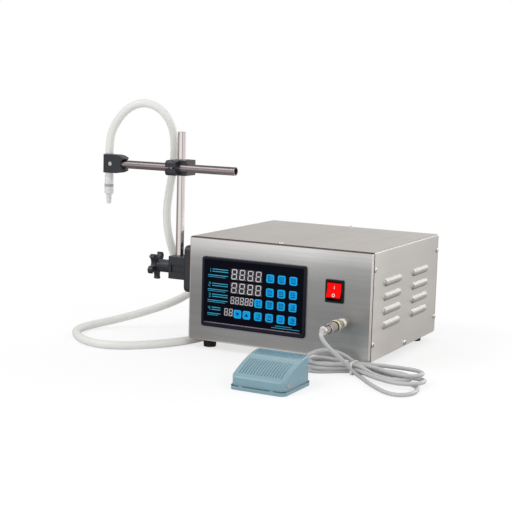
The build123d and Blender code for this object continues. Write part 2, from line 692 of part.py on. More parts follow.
def bracket_screws():
    """Screws that hold the bracket on the cover, sunk in the flange."""
    screws = []
    for z in bracket_screw_heights():
        x = LEFT - BRACKET_T + 3
        shank = rod_x(SCREW_R, x, LEFT + 4, MAST_Y, z)
        screws.append(shank + rod_x(SCREW_HEAD_R, x - 2.2, x, MAST_Y, z))
        screws.append(nut_x(LEFT + SHEET, LEFT + 4, MAST_Y, z))
    return screws


def nut_x(x0, x1, y, z):
    nut = Plane(origin=(x0, y, z), x_dir=(0, 1, 0), z_dir=(1, 0, 0))
    return extrude(nut * RegularPolygon(3.6, 6), x1 - x0) - rod_x(SCREW_R + 0.05, x0 - 1, x1 + 1, y, z)


def star_knob():
    """Lobed knob on a hub, with a stud that reaches the mast."""
    face = Plane(origin=(NECK_LEFT - KNOB_T, MAST_Y, KNOB_Z), x_dir=(0, -1, 0), z_dir=(1, 0, 0))
    outline = Circle(KNOB_R - LOBE_R)
    for n in range(KNOB_LOBES):
        turn = 360 / KNOB_LOBES * n + 95
        outline += Rot(0, 0, turn) * Pos(KNOB_R - LOBE_R, 0) * Circle(LOBE_R)
        dip = Rot(0, 0, turn + 180 / KNOB_LOBES) * Pos(KNOB_R - 1.5, 0) * Circle(9)
        outline -= dip
    star = extrude(face * outline, KNOB_T)
    star = fillet(star.faces().sort_by(Axis.X)[0].edges(), 1.6)
    washer = BLOCK_LEFT - KNOB_WASHER_T - 0.3
    knob = star + rod_x(NECK_R, NECK_LEFT - 0.5, washer, MAST_Y, KNOB_Z)
    return knob + rod_x(STUD_R, washer - 1, MAST_X - TUBE_R - 0.2, MAST_Y, KNOB_Z)


def knob_washer():
    """Bright washer between the hub and the clamp block."""
    washer = rod_x(NECK_R + 0.6, BLOCK_LEFT - KNOB_WASHER_T - 0.15, BLOCK_LEFT - 0.15, MAST_Y, KNOB_Z)
    return washer - rod_x(STUD_R + STUD_FIT, BLOCK_LEFT - 5, BLOCK_LEFT + 5, MAST_Y, KNOB_Z)


def mast_tube():
    mast = rod_z(TUBE_R, MAST_FOOT, MAST_TOP, MAST_X, MAST_Y)
    return mast - rod_z(TUBE_R - TUBE_WALL, MAST_FOOT - 1, MAST_TOP + 1, MAST_X, MAST_Y)


def arm_tube():
    arm = rod_x(TUBE_R, ARM_LEFT, ARM_RIGHT, ARM_Y, ARM_Z)
    return arm - rod_x(TUBE_R - TUBE_WALL, ARM_LEFT - 1, ARM_RIGHT + 1, ARM_Y, ARM_Z)


def cross_clamp():
    """Clamp that holds the arm across the mast: split lobes on the arm, a split on the mast."""
    low, high = ARM_Z - CLAMP_H / 2, ARM_Z + CLAMP_H / 2
    body = block(CLAMP_LEFT, CLAMP_RIGHT, CLAMP_CHANNEL, CLAMP_BACK, low, high)
    body = fillet(body.edges().filter_by(Axis.Z), 3)
    lobes = block(CLAMP_LEFT, LOBE_RIGHT, CLAMP_FRONT, ARM_Y + 8, low, high)
    lobes = fillet(lobes.edges().filter_by(Axis.X).group_by(Axis.Y)[0], 5)
    body += fillet(lobes.edges().filter_by(Axis.Z).group_by(Axis.Y)[0], 2)
    body -= rod_z(TUBE_R + TUBE_FIT, low - 1, high + 1, MAST_X, MAST_Y)
    body -= rod_x(TUBE_R + TUBE_FIT, CLAMP_LEFT - 1, CLAMP_RIGHT + 1, ARM_Y, ARM_Z)
    half = CLAMP_SLIT / 2
    body -= block(CLAMP_LEFT - 1, LOBE_RIGHT + 1, CLAMP_FRONT - 1, ARM_Y, ARM_Z - half, ARM_Z + half)
    body -= block(MAST_X - half, MAST_X + half, MAST_Y, CLAMP_BACK + 1, low - 1, high + 1)
    x, y = LOBE_SCREW
    body -= rod_z(CLAMP_SCREW_R + SCREW_CLEAR, low - 1, high + 1, x, y)
    body -= rod_z(CLAMP_HEAD_R + 0.3, high - 4, high + 1, x, y)
    body -= rod_x(CLAMP_SCREW_R + SCREW_CLEAR, CLAMP_LEFT - 1, CLAMP_RIGHT + 1, BACK_SCREW_Y, ARM_Z)
    body -= rod_x(CLAMP_HEAD_R + 0.3, CLAMP_RIGHT - 4, CLAMP_RIGHT + 1, BACK_SCREW_Y, ARM_Z)
    return body


def clamp_screws():
    """One screw through the lobes, one behind the mast."""
    low, high = ARM_Z - CLAMP_H / 2, ARM_Z + CLAMP_H / 2
    x, y = LOBE_SCREW
    first = rod_z(CLAMP_SCREW_R, low + 1, high - 4, x, y)
    first += rod_z(CLAMP_HEAD_R, high - 4, high - 1, x, y) - rod_z(1.4, high - 2.5, high, x, y)
    second = rod_x(CLAMP_SCREW_R, CLAMP_LEFT + 1, CLAMP_RIGHT - 4, BACK_SCREW_Y, ARM_Z)
    second += rod_x(CLAMP_HEAD_R, CLAMP_RIGHT - 4, CLAMP_RIGHT - 1, BACK_SCREW_Y, ARM_Z)
    second -= rod_x(1.4, CLAMP_RIGHT - 2.5, CLAMP_RIGHT, BACK_SCREW_Y, ARM_Z)
    return Compound([first, second])


def nozzle_head():
    """Bullet-shaped head: hose bore, socket with a forked mouth for the arm, screw recess."""
    z0, z1 = ARM_Z - HEAD_HALF, ARM_Z + HEAD_HALF
    t0, t1 = ARM_Z - HEAD_TIP_HALF, ARM_Z + HEAD_TIP_HALF
    y = ARM_Y + HEAD_HALF_W
    top = Bezier((HEAD_STRAIGHT, y, z1), (HEAD_STRAIGHT + 9, y, z1), (HEAD_RIGHT, y, t1))
    low = Bezier((HEAD_RIGHT, y, t0), (HEAD_STRAIGHT + 9, y, z0), (HEAD_STRAIGHT, y, z0))
    rest = Polyline((HEAD_STRAIGHT, y, z0), (HEAD_LEFT, y, z0), (HEAD_LEFT, y, z1),
                    (HEAD_STRAIGHT, y, z1))
    outline = make_face([top, Line((HEAD_RIGHT, y, t1), (HEAD_RIGHT, y, t0)), low, rest])
    head = extrude(outline, 2 * HEAD_HALF_W, dir=(0, -1, 0))
    head = fillet(head.edges().filter_by(Axis.Z).group_by(Axis.X)[-1], 3)
    head = fillet(head.edges().filter_by(Axis.Z).group_by(Axis.X)[0], 5)
    head -= rod_y(HEAD_TIP_HALF, y - 30, y + 1, HEAD_RIGHT + 3, ARM_Z)
    head -= rod_z(HOSE_R + HEAD_BORE_FIT, z0 - 1, z1 + 1, HOSE_X, ARM_Y)
    head -= rod_x(TUBE_R + TUBE_FIT, ARM_LEFT - 0.3, HEAD_RIGHT + 1, ARM_Y, ARM_Z)
    front = ARM_Y - HEAD_HALF_W
    head -= rod_y(HEAD_SCREW_SINK, front - 1, front + 2.5, HEAD_SCREW_X, ARM_Z)
    head -= rod_y(HEAD_SCREW_R + 0.1, front, ARM_Y, HEAD_SCREW_X, ARM_Z)
    return head


def head_screw():
    """Set screw that holds the hose in the head."""
    front = ARM_Y - HEAD_HALF_W
    screw = rod_y(HEAD_SCREW_R, front + 1, ARM_Y - HOSE_R - 0.4, HEAD_SCREW_X, ARM_Z)
    screw += rod_y(HEAD_SCREW_SINK - 0.3, front + 0.8, front + 2.4, HEAD_SCREW_X, ARM_Z)
    socket = Plane(origin=(HEAD_SCREW_X, front + 0.5, ARM_Z), x_dir=(1, 0, 0), z_dir=(0, 1, 0))
    return screw - extrude(socket * RegularPolygon(1.5, 6), 1.6)


def outlet_hose_end():
    """End of the outlet hose, through the head."""
    end = rod_z(HOSE_R, STUB_LOW, ARM_Z + HEAD_HALF, HOSE_X, ARM_Y)
    return end - rod_z(HOSE_BORE_R, STUB_LOW - 1, ARM_Z + HEAD_HALF - 4, HOSE_X, ARM_Y)


def hose_connector():
    """Clear connector: barb in the hose, collar, groove for the ring, body."""
    part = rod_z(BARB_R, CONNECTOR_HIGH - 1, CONNECTOR_HIGH + 14, HOSE_X, ARM_Y)
    part += rod_z(CONNECTOR_R - 0.3, RING_HIGH, CONNECTOR_HIGH, HOSE_X, ARM_Y)
    part += rod_z(CONNECTOR_R - 1.6, RING_LOW, RING_HIGH, HOSE_X, ARM_Y)
    body = rod_z(CONNECTOR_R, CONNECTOR_LOW, RING_LOW, HOSE_X, ARM_Y)
    part += chamfer(body.edges().group_by(Axis.Z)[0], 0.8)
    part -= rod_z(TIP_R - 0.9, CONNECTOR_LOW - 1, CONNECTOR_LOW + 6, HOSE_X, ARM_Y)
    return part - rod_z(TIP_BORE_R, CONNECTOR_LOW, CONNECTOR_HIGH + 15, HOSE_X, ARM_Y)


def seal_ring():
    """Grey ring in the connector's groove."""
    ring = rod_z(CONNECTOR_R, RING_LOW + 0.1, RING_HIGH - 0.1, HOSE_X, ARM_Y)
    return ring - rod_z(CONNECTOR_R - 1.55, RING_LOW, RING_HIGH, HOSE_X, ARM_Y)


def nozzle_tip():
    """Tapered spout with a spigot in the connector."""
    high = CONNECTOR_LOW - 0.1
    tip = Pos(HOSE_X, ARM_Y, (TIP_LOW + high) / 2) * Cone(TIP_END_R, TIP_R, high - TIP_LOW)
    tip += rod_z(TIP_R - 1.0, high - 1, CONNECTOR_LOW + 5.5, HOSE_X, ARM_Y)
    return tip - rod_z(TIP_BORE_R, TIP_LOW - 1, CONNECTOR_LOW + 6, HOSE_X, ARM_Y)


def hose_port(y):
    """Bulkhead fitting: outer barb, flange, thread through the cover, nut, inner barb."""
    x = LEFT
    port = rod_x(BARB_R, x - PORT_OUT, x + PORT_IN, y, PORT_Z)
    port += rod_x(PORT_FLANGE_R, x - PORT_FLANGE_T, x, y, PORT_Z)
    port += rod_x(PORT_THREAD_R, x, x + SHEET + PORT_NUT_T + 2, y, PORT_Z)
    nut = Plane(origin=(x + SHEET, y, PORT_Z), x_dir=(0, 1, 0), z_dir=(1, 0, 0))
    port += extrude(nut * RegularPolygon(PORT_FLANGE_R, 6), PORT_NUT_T)
    return port - rod_x(BARB_R - 1.4, x - PORT_OUT - 1, x + PORT_IN + 1, y, PORT_Z)


def hose_ports():
    return Compound([hose_port(OUTLET_Y), hose_port(INLET_Y)])


def involute_gear(r_pitch, teeth, width):
    """Spur gear along Z from 0 to width, a tooth pointing along +X, flanks as involutes."""
    pressure = math.radians(GEAR_ANGLE)
    base = r_pitch * math.cos(pressure)
    tip, root = r_pitch + GEAR_MODULE, r_pitch - 1.2 * GEAR_MODULE
    inv = math.tan(pressure) - pressure
    half = math.pi / (2 * teeth) - GEAR_BACKLASH / (2 * r_pitch)

    def flank(r):
        roll = math.acos(min(1.0, base / r))
        return half + inv - (math.tan(roll) - roll)

    heights = [base + (tip - base) * n / 5 for n in range(6)]
    points = []
    for n in range(teeth):
        at = 2 * math.pi * n / teeth
        lower = [(root, -half - inv)] + [(r, -flank(r)) for r in heights]
        upper = [(r, -a) for r, a in reversed(lower)]
        points += [(r * math.cos(at + a), r * math.sin(at + a)) for r, a in lower + upper]
    return extrude(make_face(Polyline(*points, close=True)), width)


def pump_gear(z, turn):
    """Gear in the pump, its axis along X."""
    left = PUMP_LEFT + PUMP_COVER_T + (GEAR_POCKET - GEAR_W) / 2
    plane = Plane(origin=(left, PUMP_Y, z), x_dir=(0, 0, 1), z_dir=(1, 0, 0))
    return plane * Rot(0, 0, turn) * involute_gear(GEAR_R, GEAR_TEETH, GEAR_W)


def drive_gear():
    """Lower gear on the motor's shaft, a tooth pointing up into the mesh."""
    rear = PUMP_LEFT + PUMP_COVER_T + PUMP_BODY_T + MOUNT_T
    shaft = rod_x(SHAFT_R, PUMP_LEFT + 2, rear + 12, PUMP_Y, DRIVE_Z)
    return pump_gear(DRIVE_Z, 0) + shaft


def driven_gear():
    """Upper gear on its own journals, a gap pointing down at the drive gear's tooth."""
    rear = PUMP_LEFT + PUMP_COVER_T + PUMP_BODY_T
    shaft = rod_x(SHAFT_R, PUMP_LEFT + 2, rear - 1, PUMP_Y, DRIVEN_Z)
    return pump_gear(DRIVEN_Z, 180 + 180 / GEAR_TEETH) + shaft


def pump_plate(x0, x1):
    z = (DRIVE_Z + DRIVEN_Z) / 2
    plane = Plane(origin=(x0, PUMP_Y, z), x_dir=(0, 1, 0), z_dir=(1, 0, 0))
    return extrude(plane * RectangleRounded(PUMP_W, PUMP_H, 14), x1 - x0)


def pump_body():
    """Gear chamber with a port on each side of the mesh."""
    x0 = PUMP_LEFT + PUMP_COVER_T
    x1 = x0 + PUMP_BODY_T
    body = pump_plate(x0, x1)
    mid = x0 + GEAR_POCKET / 2
    for side in (-1, 1):
        end = PUMP_Y + side * (PUMP_W / 2 + 8)
        body += rod_y(BARB_R, min(PUMP_Y, end), max(PUMP_Y, end), mid, MESH_Z)
        body -= rod_y(2.5, min(PUMP_Y, end + side), max(PUMP_Y, end + side), mid, MESH_Z)
    for z in (DRIVE_Z, DRIVEN_Z):
        body -= rod_x(GEAR_R + GEAR_MODULE + GEAR_FIT, x0 - 1, x0 + GEAR_POCKET, PUMP_Y, z)
        body -= rod_x(SHAFT_R + SHAFT_FIT, x0, x1 + 1 if z == DRIVE_Z else x1 - 0.6, PUMP_Y, z)
    return body


def pump_cover():
    """Plate that closes the gear chamber, with blind bearings for both shafts."""
    x1 = PUMP_LEFT + PUMP_COVER_T
    cover = pump_plate(PUMP_LEFT, x1)
    cover = chamfer(cover.faces().sort_by(Axis.X)[0].edges(), 1)
    for z in (DRIVE_Z, DRIVEN_Z):
        cover -= rod_x(SHAFT_R + SHAFT_FIT, PUMP_LEFT + 1.8, x1 + 1, PUMP_Y, z)
    return cover


def pump_mount():
    """Angle plate on the floor between pump and motor."""
    x0 = PUMP_LEFT + PUMP_COVER_T + PUMP_BODY_T
    x1 = x0 + MOUNT_T
    top = DRIVEN_Z + GEAR_R + 8
    mount = block(x0, x1, PUMP_Y - 32, PUMP_Y + 32, FLOOR_TOP, top)
    mount = fillet(mount.edges().filter_by(Axis.X).group_by(Axis.Z)[-1], 12)
    mount += block(x0, x0 + 36, PUMP_Y - 32, PUMP_Y + 32, FLOOR_TOP, FLOOR_TOP + MOUNT_T)
    for side in (-1, 1):
        y = PUMP_Y + side * 30
        rib = make_face(Polyline((x1, y, FLOOR_TOP + MOUNT_T), (x0 + 32, y, FLOOR_TOP + MOUNT_T),
                                 (x1, y, FLOOR_TOP + 34), close=True))
        mount += extrude(rib, 2, dir=(0, side, 0))
    return mount - rod_x(SHAFT_R + 1, x0 - 1, x1 + 1, PUMP_Y, DRIVE_Z)


def pump_motor():
    """Round motor with end caps and terminals."""
    x0 = PUMP_LEFT + PUMP_COVER_T + PUMP_BODY_T + MOUNT_T
    motor = rod_x(MOTOR_R, x0, x0 + MOTOR_LEN, PUMP_Y, DRIVE_Z)
    motor = chamfer(motor.edges().group_by(Axis.X)[-1], 2)
    motor += rod_x(9, x0 + MOTOR_LEN, x0 + MOTOR_LEN + 4, PUMP_Y, DRIVE_Z)
    motor -= rod_x(SHAFT_R + SHAFT_FIT, x0 - 1, x0 + 13, PUMP_Y, DRIVE_Z)
    groove = rod_x(MOTOR_R + 1, x0 + 12, x0 + 14, PUMP_Y, DRIVE_Z)
    motor -= groove - rod_x(MOTOR_R - 0.8, x0 + 12, x0 + 14, PUMP_Y, DRIVE_Z)
    for side in (-1, 1):
        y = PUMP_Y + side * 15
        motor += block(x0 + MOTOR_LEN - 1, x0 + MOTOR_LEN + 8, y - 3, y + 3, DRIVE_Z - 0.4,
                       DRIVE_Z + 0.4)
    return motor


def pump_tube(side):
    """Inner tube from the pump to a port, over both barbs."""
    x = PUMP_LEFT + PUMP_COVER_T + GEAR_POCKET / 2
    y = PUMP_Y + side * PORT_SPREAD
    start = PUMP_Y + side * PUMP_W / 2
    path = FilletPolyline((x, start, MESH_Z), (x, y, MESH_Z), (LEFT + 12, y, PORT_Z), radius=TUBE_BEND)
    section = Plane(origin=path @ 0, z_dir=path % 0)
    return sweep(section * Circle(HOSE_R), path) - sweep(section * Circle(HOSE_BORE_R), path)


def pump_tubes():
    return Compound([pump_tube(-1), pump_tube(1)])


def power_supply():
    """Closed supply box on four posts, with a terminal strip."""
    w, d, h = SUPPLY
    x, y = SUPPLY_AT
    low = FLOOR_TOP + SUPPLY_UP
    box = block(x - w / 2, x + w / 2, y - d / 2, y + d / 2, low, low + h)
    box -= block(x - w / 2 + 4, x + w / 2 - 4, y - d / 2 - 1, y - d / 2 + 14, low + 12, low + h + 1)
    for n in range(5):
        at = x - w / 2 + 14 + n * 15
        box += block(at - 5, at + 5, y - d / 2 + 2, y - d / 2 + 14, low + 12, low + 24)
    for px in (x - w / 2 + 8, x + w / 2 - 8):
        for py in (y - d / 2 + 8, y + d / 2 - 8):
            box += rod_z(4, FLOOR_TOP, low, px, py)
    return box


def power_inlet():
    """Mains inlet in the rear panel: plate, body, recess with three pins, two screws."""
    inlet = front_plate(INLET_PLATE_W, INLET_PLATE_H, 6, INLET_X, INLET_Z, BACK,
                        BACK + INLET_PLATE_T)
    inlet = chamfer(inlet.faces().sort_by(Axis.Y)[-1].edges(), 0.8)
    inlet += front_plate(INLET_W, INLET_H, 0.8, INLET_X, INLET_Z, BACK - INLET_DEEP, BACK)
    inlet -= front_plate(24.4, 16.8, 3, INLET_X, INLET_Z, BACK - 14, BACK + 5)
    for x, z in ((-7, -1), (7, -1), (0, 3)):
        inlet += block(INLET_X + x - 1, INLET_X + x + 1, BACK - 15, BACK - 4, INLET_Z + z - 2,
                       INLET_Z + z + 2)
    for side in (-1, 1):
        x = INLET_X + side * INLET_SCREW_X
        inlet += rod_y(SCREW_HEAD_R, BACK, BACK + INLET_PLATE_T + 1, x, INLET_Z)
        inlet += rod_y(SCREW_R, BACK - 6, BACK, x, INLET_Z)
    return inlet


def treadle_outline(inset):
    """Side outline of the treadle's top in Y and Z, drawn in by an inset."""
    y0 = PEDAL_FRONT + TRAY_WALL + PEDAL_GAP + inset
    y1 = PEDAL_BACK - TRAY_WALL - PEDAL_GAP - inset
    crest = PEDAL_FRONT + TREADLE_CREST
    return y0, y1, crest, [h - inset for h in (TREADLE_FRONT_H, TREADLE_CREST_H, TREADLE_BACK_H)]


def treadle_solid(inset, low):
    """Wedge with an arched slope, from a low level up to the inset outline."""
    y0, y1, crest, (front_h, crest_h, back_h) = treadle_outline(inset)
    half = PEDAL_W / 2 - TRAY_WALL - PEDAL_GAP - inset
    x = PEDAL_X - half
    slope = ThreePointArc(
        (x, y0 + 2, front_h),
        (x, (y0 + 2 + crest) / 2, (front_h + crest_h) / 2 + TREADLE_ARCH), (x, crest, crest_h))
    back = ThreePointArc(
        (x, crest, crest_h), (x, (crest + y1 - 3) / 2, (crest_h + back_h) / 2 + TREADLE_ARCH),
        (x, y1 - 3, back_h))
    rest = Polyline((x, y1 - 3, back_h), (x, y1, back_h - 3), (x, y1, low), (x, y0, low),
                    (x, y0, front_h - 2), (x, y0 + 2, front_h))
    wedge = extrude(make_face([slope, back, rest]), 2 * half, dir=(1, 0, 0))
    corner = PEDAL_R - TRAY_WALL - max(inset, 0)
    plan = floor_plate(2 * half, y1 - y0, corner, PEDAL_X, (y0 + y1) / 2, low, 60)
    return wedge & plan


def pedal_treadle():
    """Treadle: moulded shell with grooves, side walls that turn on the hinge pin."""
    shell = treadle_solid(0, TREADLE_SKIRT)
    top = [f for f in shell.faces() if f.normal_at().Z > 0.3]
    edges = ShapeList([e for f in top for e in f.edges()]).filter_by(Axis.Y, reverse=True)
    sides = [e for e in edges if abs(abs(e.center().X - PEDAL_X) - pedal_half()) < 0.5]
    shell = fillet(sides, 1.6)
    shell -= treadle_solid(TREADLE_T, TREADLE_SKIRT - 1)
    shell -= grooves(PEDAL_FRONT + 9, PEDAL_FRONT + 40)
    shell -= grooves(PEDAL_FRONT + 53, PEDAL_FRONT + 68)
    y = PEDAL_FRONT + PIN_IN
    shell -= rod_x(PIN_R + PIN_FIT, PEDAL_X - PEDAL_W, PEDAL_X + PEDAL_W, y, PIN_Z)
    x, y = SWITCH_AT
    travel = math.tan(math.radians(PEDAL_SWING)) * (y + BOSS_R - PEDAL_FRONT - PIN_IN)
    boss = rod_z(BOSS_R, switch_top() + travel + BOSS_CLEAR, TREADLE_BACK_H, x, y)
    x, y = SPRING_AT
    seat = rod_z(SPRING_R - SEAT_IN, SEAT_LOW, TREADLE_BACK_H, x, y)
    return shell + ((boss + seat) & treadle_solid(TREADLE_T / 2, TREADLE_SKIRT))


def switch_top():
    """Top of the foot switch's plunger."""
    return TRAY_FLOOR + SWITCH_BOX[2] + PLUNGER_H


def pedal_half():
    return PEDAL_W / 2 - TRAY_WALL - PEDAL_GAP


def grooves(y0, y1):
    """Row of lengthwise grooves that follow the treadle's top."""
    y = (y0 + y1) / 2
    skin = treadle_solid(-2, TREADLE_FRONT_H - 6) - treadle_solid(GROOVE_DEEP, 0)
    cuts = []
    for n in range(GROOVES):
        x = PEDAL_X + (n - (GROOVES - 1) / 2) * GROOVE_PITCH
        cuts.append(Pos(x, y, 30) * Box(GROOVE_W, y1 - y0, 60))
    return skin & (Part() + cuts)


def pedal_base():
    """Tray under the treadle, with ears for the pin, a spring seat and the cord gland."""
    y = PEDAL_FRONT + PEDAL_D / 2
    base = floor_plate(PEDAL_W, PEDAL_D, PEDAL_R, PEDAL_X, y, 0, TRAY_H)
    base = fillet(base.faces().sort_by(Axis.Z)[-1].edges(), 0.5)
    base -= floor_plate(PEDAL_W - 2 * TRAY_WALL, PEDAL_D - 2 * TRAY_WALL, PEDAL_R - TRAY_WALL,
                        PEDAL_X, y, TRAY_FLOOR, TRAY_H + 1)
    pin_y = PEDAL_FRONT + PIN_IN
    inside = pedal_half() - TREADLE_T
    for side in (-1, 1):
        x = PEDAL_X + side * (inside - 3)
        ear = block(x - 1.8, x + 1.8, pin_y - 5, pin_y + 5, TRAY_FLOOR, PIN_Z)
        ear += rod_x(5, x - 1.8, x + 1.8, pin_y, PIN_Z)
        base += ear - rod_x(PIN_R + 0.02, x - 5, x + 5, pin_y, PIN_Z)
    ring_x, ring_y = SPRING_AT
    base += rod_z(SPRING_R - SEAT_IN, TRAY_FLOOR, TRAY_FLOOR + SEAT_H, ring_x, ring_y)
    gland = block(EXIT_X - 7, EXIT_X + 7, PEDAL_BACK - TRAY_WALL, PEDAL_BACK, 0.5, EXIT_Z)
    gland += rod_y(7, PEDAL_BACK - TRAY_WALL, PEDAL_BACK, EXIT_X, EXIT_Z)
    gland += rod_y(GLAND_R, PEDAL_BACK - TRAY_WALL, PEDAL_BACK + 4, EXIT_X, EXIT_Z)
    return base + gland


def pedal_pin():
    """Hinge pin with a head on the right."""
    y = PEDAL_FRONT + PIN_IN
    half = pedal_half()
    pin = rod_x(PIN_R, PEDAL_X - half, PEDAL_X + half + 0.3, y, PIN_Z)
    return pin + rod_x(PIN_R + 1, PEDAL_X + half + 0.2, PEDAL_X + half + 1.0, y, PIN_Z)


def pedal_spring():
    """Return spring between tray and treadle."""
    x, y = SPRING_AT
    low, high = TRAY_FLOOR + SPRING_WIRE + 0.1, 33.3
    path = Helix((high - low) / SPRING_TURNS, high - low, SPRING_R)
    section = Plane(origin=path @ 0, z_dir=path % 0) * Circle(SPRING_WIRE)
    return Pos(x, y, low) * sweep(section, path)


def pedal_switch():
    """Small switch with a plunger under the treadle's boss."""
    w, d, h = SWITCH_BOX
    x, y = SWITCH_AT
    body = block(x - w / 2, x + w / 2, y - d / 2, y + d / 2, TRAY_FLOOR, TRAY_FLOOR + h)
    body -= rod_x(1.5, x - w, x + w, y - d / 2 + 4, TRAY_FLOOR + 4)
    body -= rod_x(1.5, x - w, x + w, y + d / 2 - 4, TRAY_FLOOR + 4)
    return body + rod_z(PLUNGER_R, TRAY_FLOOR + h, switch_top(), x, y)


def cord_hank():
    """Outer shape of the tied hank: narrow at the tie, spread at both ends."""
    hank = Part()
    for outline in (HANK_RIGHT, HANK_LEFT):
        edge = FilletPolyline(*outline, radius=HANK_BEND) + Line(outline[-1], outline[0])
        hank += Pos(TIE_X, TIE_Y) * extrude(make_face(edge), HANK_H)
    waist = block(TIE_X - 14, TIE_X + 14, TIE_Y - WAIST_HALF + 0.2, TIE_Y + WAIST_HALF - 0.2, 0,
                  WAIST_H)
    waist = fillet(waist.edges().filter_by(Axis.X).group_by(Axis.Z)[-1], 5)
    half = TIE_W / 2 + 0.2
    groove = block(TIE_X - half, TIE_X + half, TIE_Y - 40, TIE_Y + 40, -1, WAIST_H + 1)
    core = block(TIE_X - half - 1, TIE_X + half + 1, TIE_Y - WAIST_HALF + 1.4,
                 TIE_Y + WAIST_HALF - 1.4, TIE_T + 0.2, WAIST_H - TIE_T - 0.2)
    core = fillet(core.edges().filter_by(Axis.X), 4)
    return hank + waist - groove + core


def cable_tie():
    """White tie round the waist of the hank, with its lock on top."""
    x0, x1 = TIE_X - TIE_W / 2, TIE_X + TIE_W / 2
    y0, y1 = TIE_Y - WAIST_HALF + 0.1, TIE_Y + WAIST_HALF - 0.1
    tie = block(x0, x1, y0, y1, 0, WAIST_H)
    tie = fillet(tie.edges().filter_by(Axis.X), 5.2)
    room = block(x0 - 1, x1 + 1, y0 + TIE_T, y1 - TIE_T, TIE_T, WAIST_H - TIE_T)
    return tie - fillet(room.edges().filter_by(Axis.X), 4)


def write(name, shape):
    export_step(shape, f"parts/{name}.step")


def main():
    os.makedirs("parts", exist_ok=True)
    pieces = (
        chassis_tray, top_cover, case_feet, case_fasteners, panel_bezel, panel_overlay, display_board,
        rocker_housing, rocker_button, cable_socket, cable_plug, mast_bracket,
        star_knob, mast_tube, cross_clamp, clamp_screws, arm_tube, nozzle_head,
        head_screw, outlet_hose_end, hose_connector, seal_ring, nozzle_tip, hose_ports, pump_body,
        pump_cover, drive_gear, driven_gear, pump_mount, pump_motor, pump_tubes, power_supply,
        power_inlet, pedal_base, pedal_treadle, pedal_pin, pedal_spring, pedal_switch, cord_hank,
        cable_tie,
    )
    for piece in pieces:
        write(piece.__name__, piece())
    for n, (x, z) in enumerate(key_places(), start=1):
        write(f"key_{n:02d}", key(x, z))
    write("outlet_hose", cord_tube("outlet_hose", OUTLET_ROUTE, HOSE_R))
    write("inlet_hose", cord_tube("inlet_hose", INLET_ROUTE, HOSE_R))
    write("cord_lead", cord_tube("cord_lead", LEAD_ROUTE, CORD_R))
    write("cord_tail", cord_tube("cord_tail", TAIL_ROUTE, CORD_R))


main()
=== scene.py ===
import math

import bpy
from mathutils import Matrix, Vector


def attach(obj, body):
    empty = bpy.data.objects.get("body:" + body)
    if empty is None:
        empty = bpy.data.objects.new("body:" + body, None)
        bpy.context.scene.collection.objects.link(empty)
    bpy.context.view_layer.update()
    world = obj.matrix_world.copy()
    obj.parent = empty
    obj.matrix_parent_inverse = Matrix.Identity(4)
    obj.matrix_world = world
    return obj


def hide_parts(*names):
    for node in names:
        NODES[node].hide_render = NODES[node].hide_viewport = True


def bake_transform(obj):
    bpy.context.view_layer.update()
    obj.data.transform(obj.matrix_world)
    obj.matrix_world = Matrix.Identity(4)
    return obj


# Looks of the bench liquid filler. Metres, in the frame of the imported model: +Z up, +X to the
# right seen from the front, +Y to the back.

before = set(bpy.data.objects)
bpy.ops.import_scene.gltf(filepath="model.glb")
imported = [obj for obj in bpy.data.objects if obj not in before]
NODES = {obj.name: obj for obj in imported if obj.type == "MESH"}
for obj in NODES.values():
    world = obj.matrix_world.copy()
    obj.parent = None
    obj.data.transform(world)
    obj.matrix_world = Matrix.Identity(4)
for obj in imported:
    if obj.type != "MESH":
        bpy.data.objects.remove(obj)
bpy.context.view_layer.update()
MM = 0.001

# Places and sizes that part.py also has, in millimetres
FRONT = -132.5
PANEL_FACE = FRONT - 1.7
CASE_HALF = 142.0
CASE_BACK = 132.5
CASE_FOOT = 13.0
CASE_TOP = 163.0
HOSE_R = 6.0
HOSE_BORE_R = 4.0
CORD_R = 2.75
HOSE_X = -287.0
ARM_Y = -126.0
ARM_Z = 259.0
ARM_R = 6.0
KEY_COLUMNS = (-28.1, -10.3, 7.5, 25.5)
KEY_ROWS = (113.7, 93.8, 76.4, 57.8)
ARROW_COLUMNS = (-60.6, -46.2)
KEY_FACE = PANEL_FACE - 0.6
ROCKER_X, ROCKER_Z = 87.4, 105.9
SPRING_X, SPRING_Y = 48.0, -255.0
SPRING_LOW, SPRING_HIGH = 2.3, 33.3
SPRING_R = 5.0
SPRING_WIRE_R = 0.6
SPRING_TURNS = 5

# Sizes of the scene's own pieces, in millimetres
SPRING_STEPS = 16       # points in each turn
CORD_STEP = 1.6         # between two rings of the cord's mesh
COLLAR_OFF = 14         # from the hose's axis to the collar
COLLAR_LEN = 10
COLLAR_R = 7.9
COLLAR_TAPER = 0.1      # for each millimetre
COLLAR_BORE_R = ARM_R + 0.15
SLEEVE_STEPS = 12       # steps of the cord that the sleeve covers
SLEEVE_R = 3.0
SLEEVE_FLARE = 1.3      # wider at the pedal
# the overlay's bead stands in for a reflection on the bezel's lower edge
BEAD_LEFT, BEAD_RIGHT = -114.5, 37.8
BEAD_Z = 41.2
BEAD_R = 0.9
BEAD_STEPS = 8
ART_LIFT = 0.05         # art in front of its face
RAY_FROM = FRONT - 30   # in front of all pieces of the panel

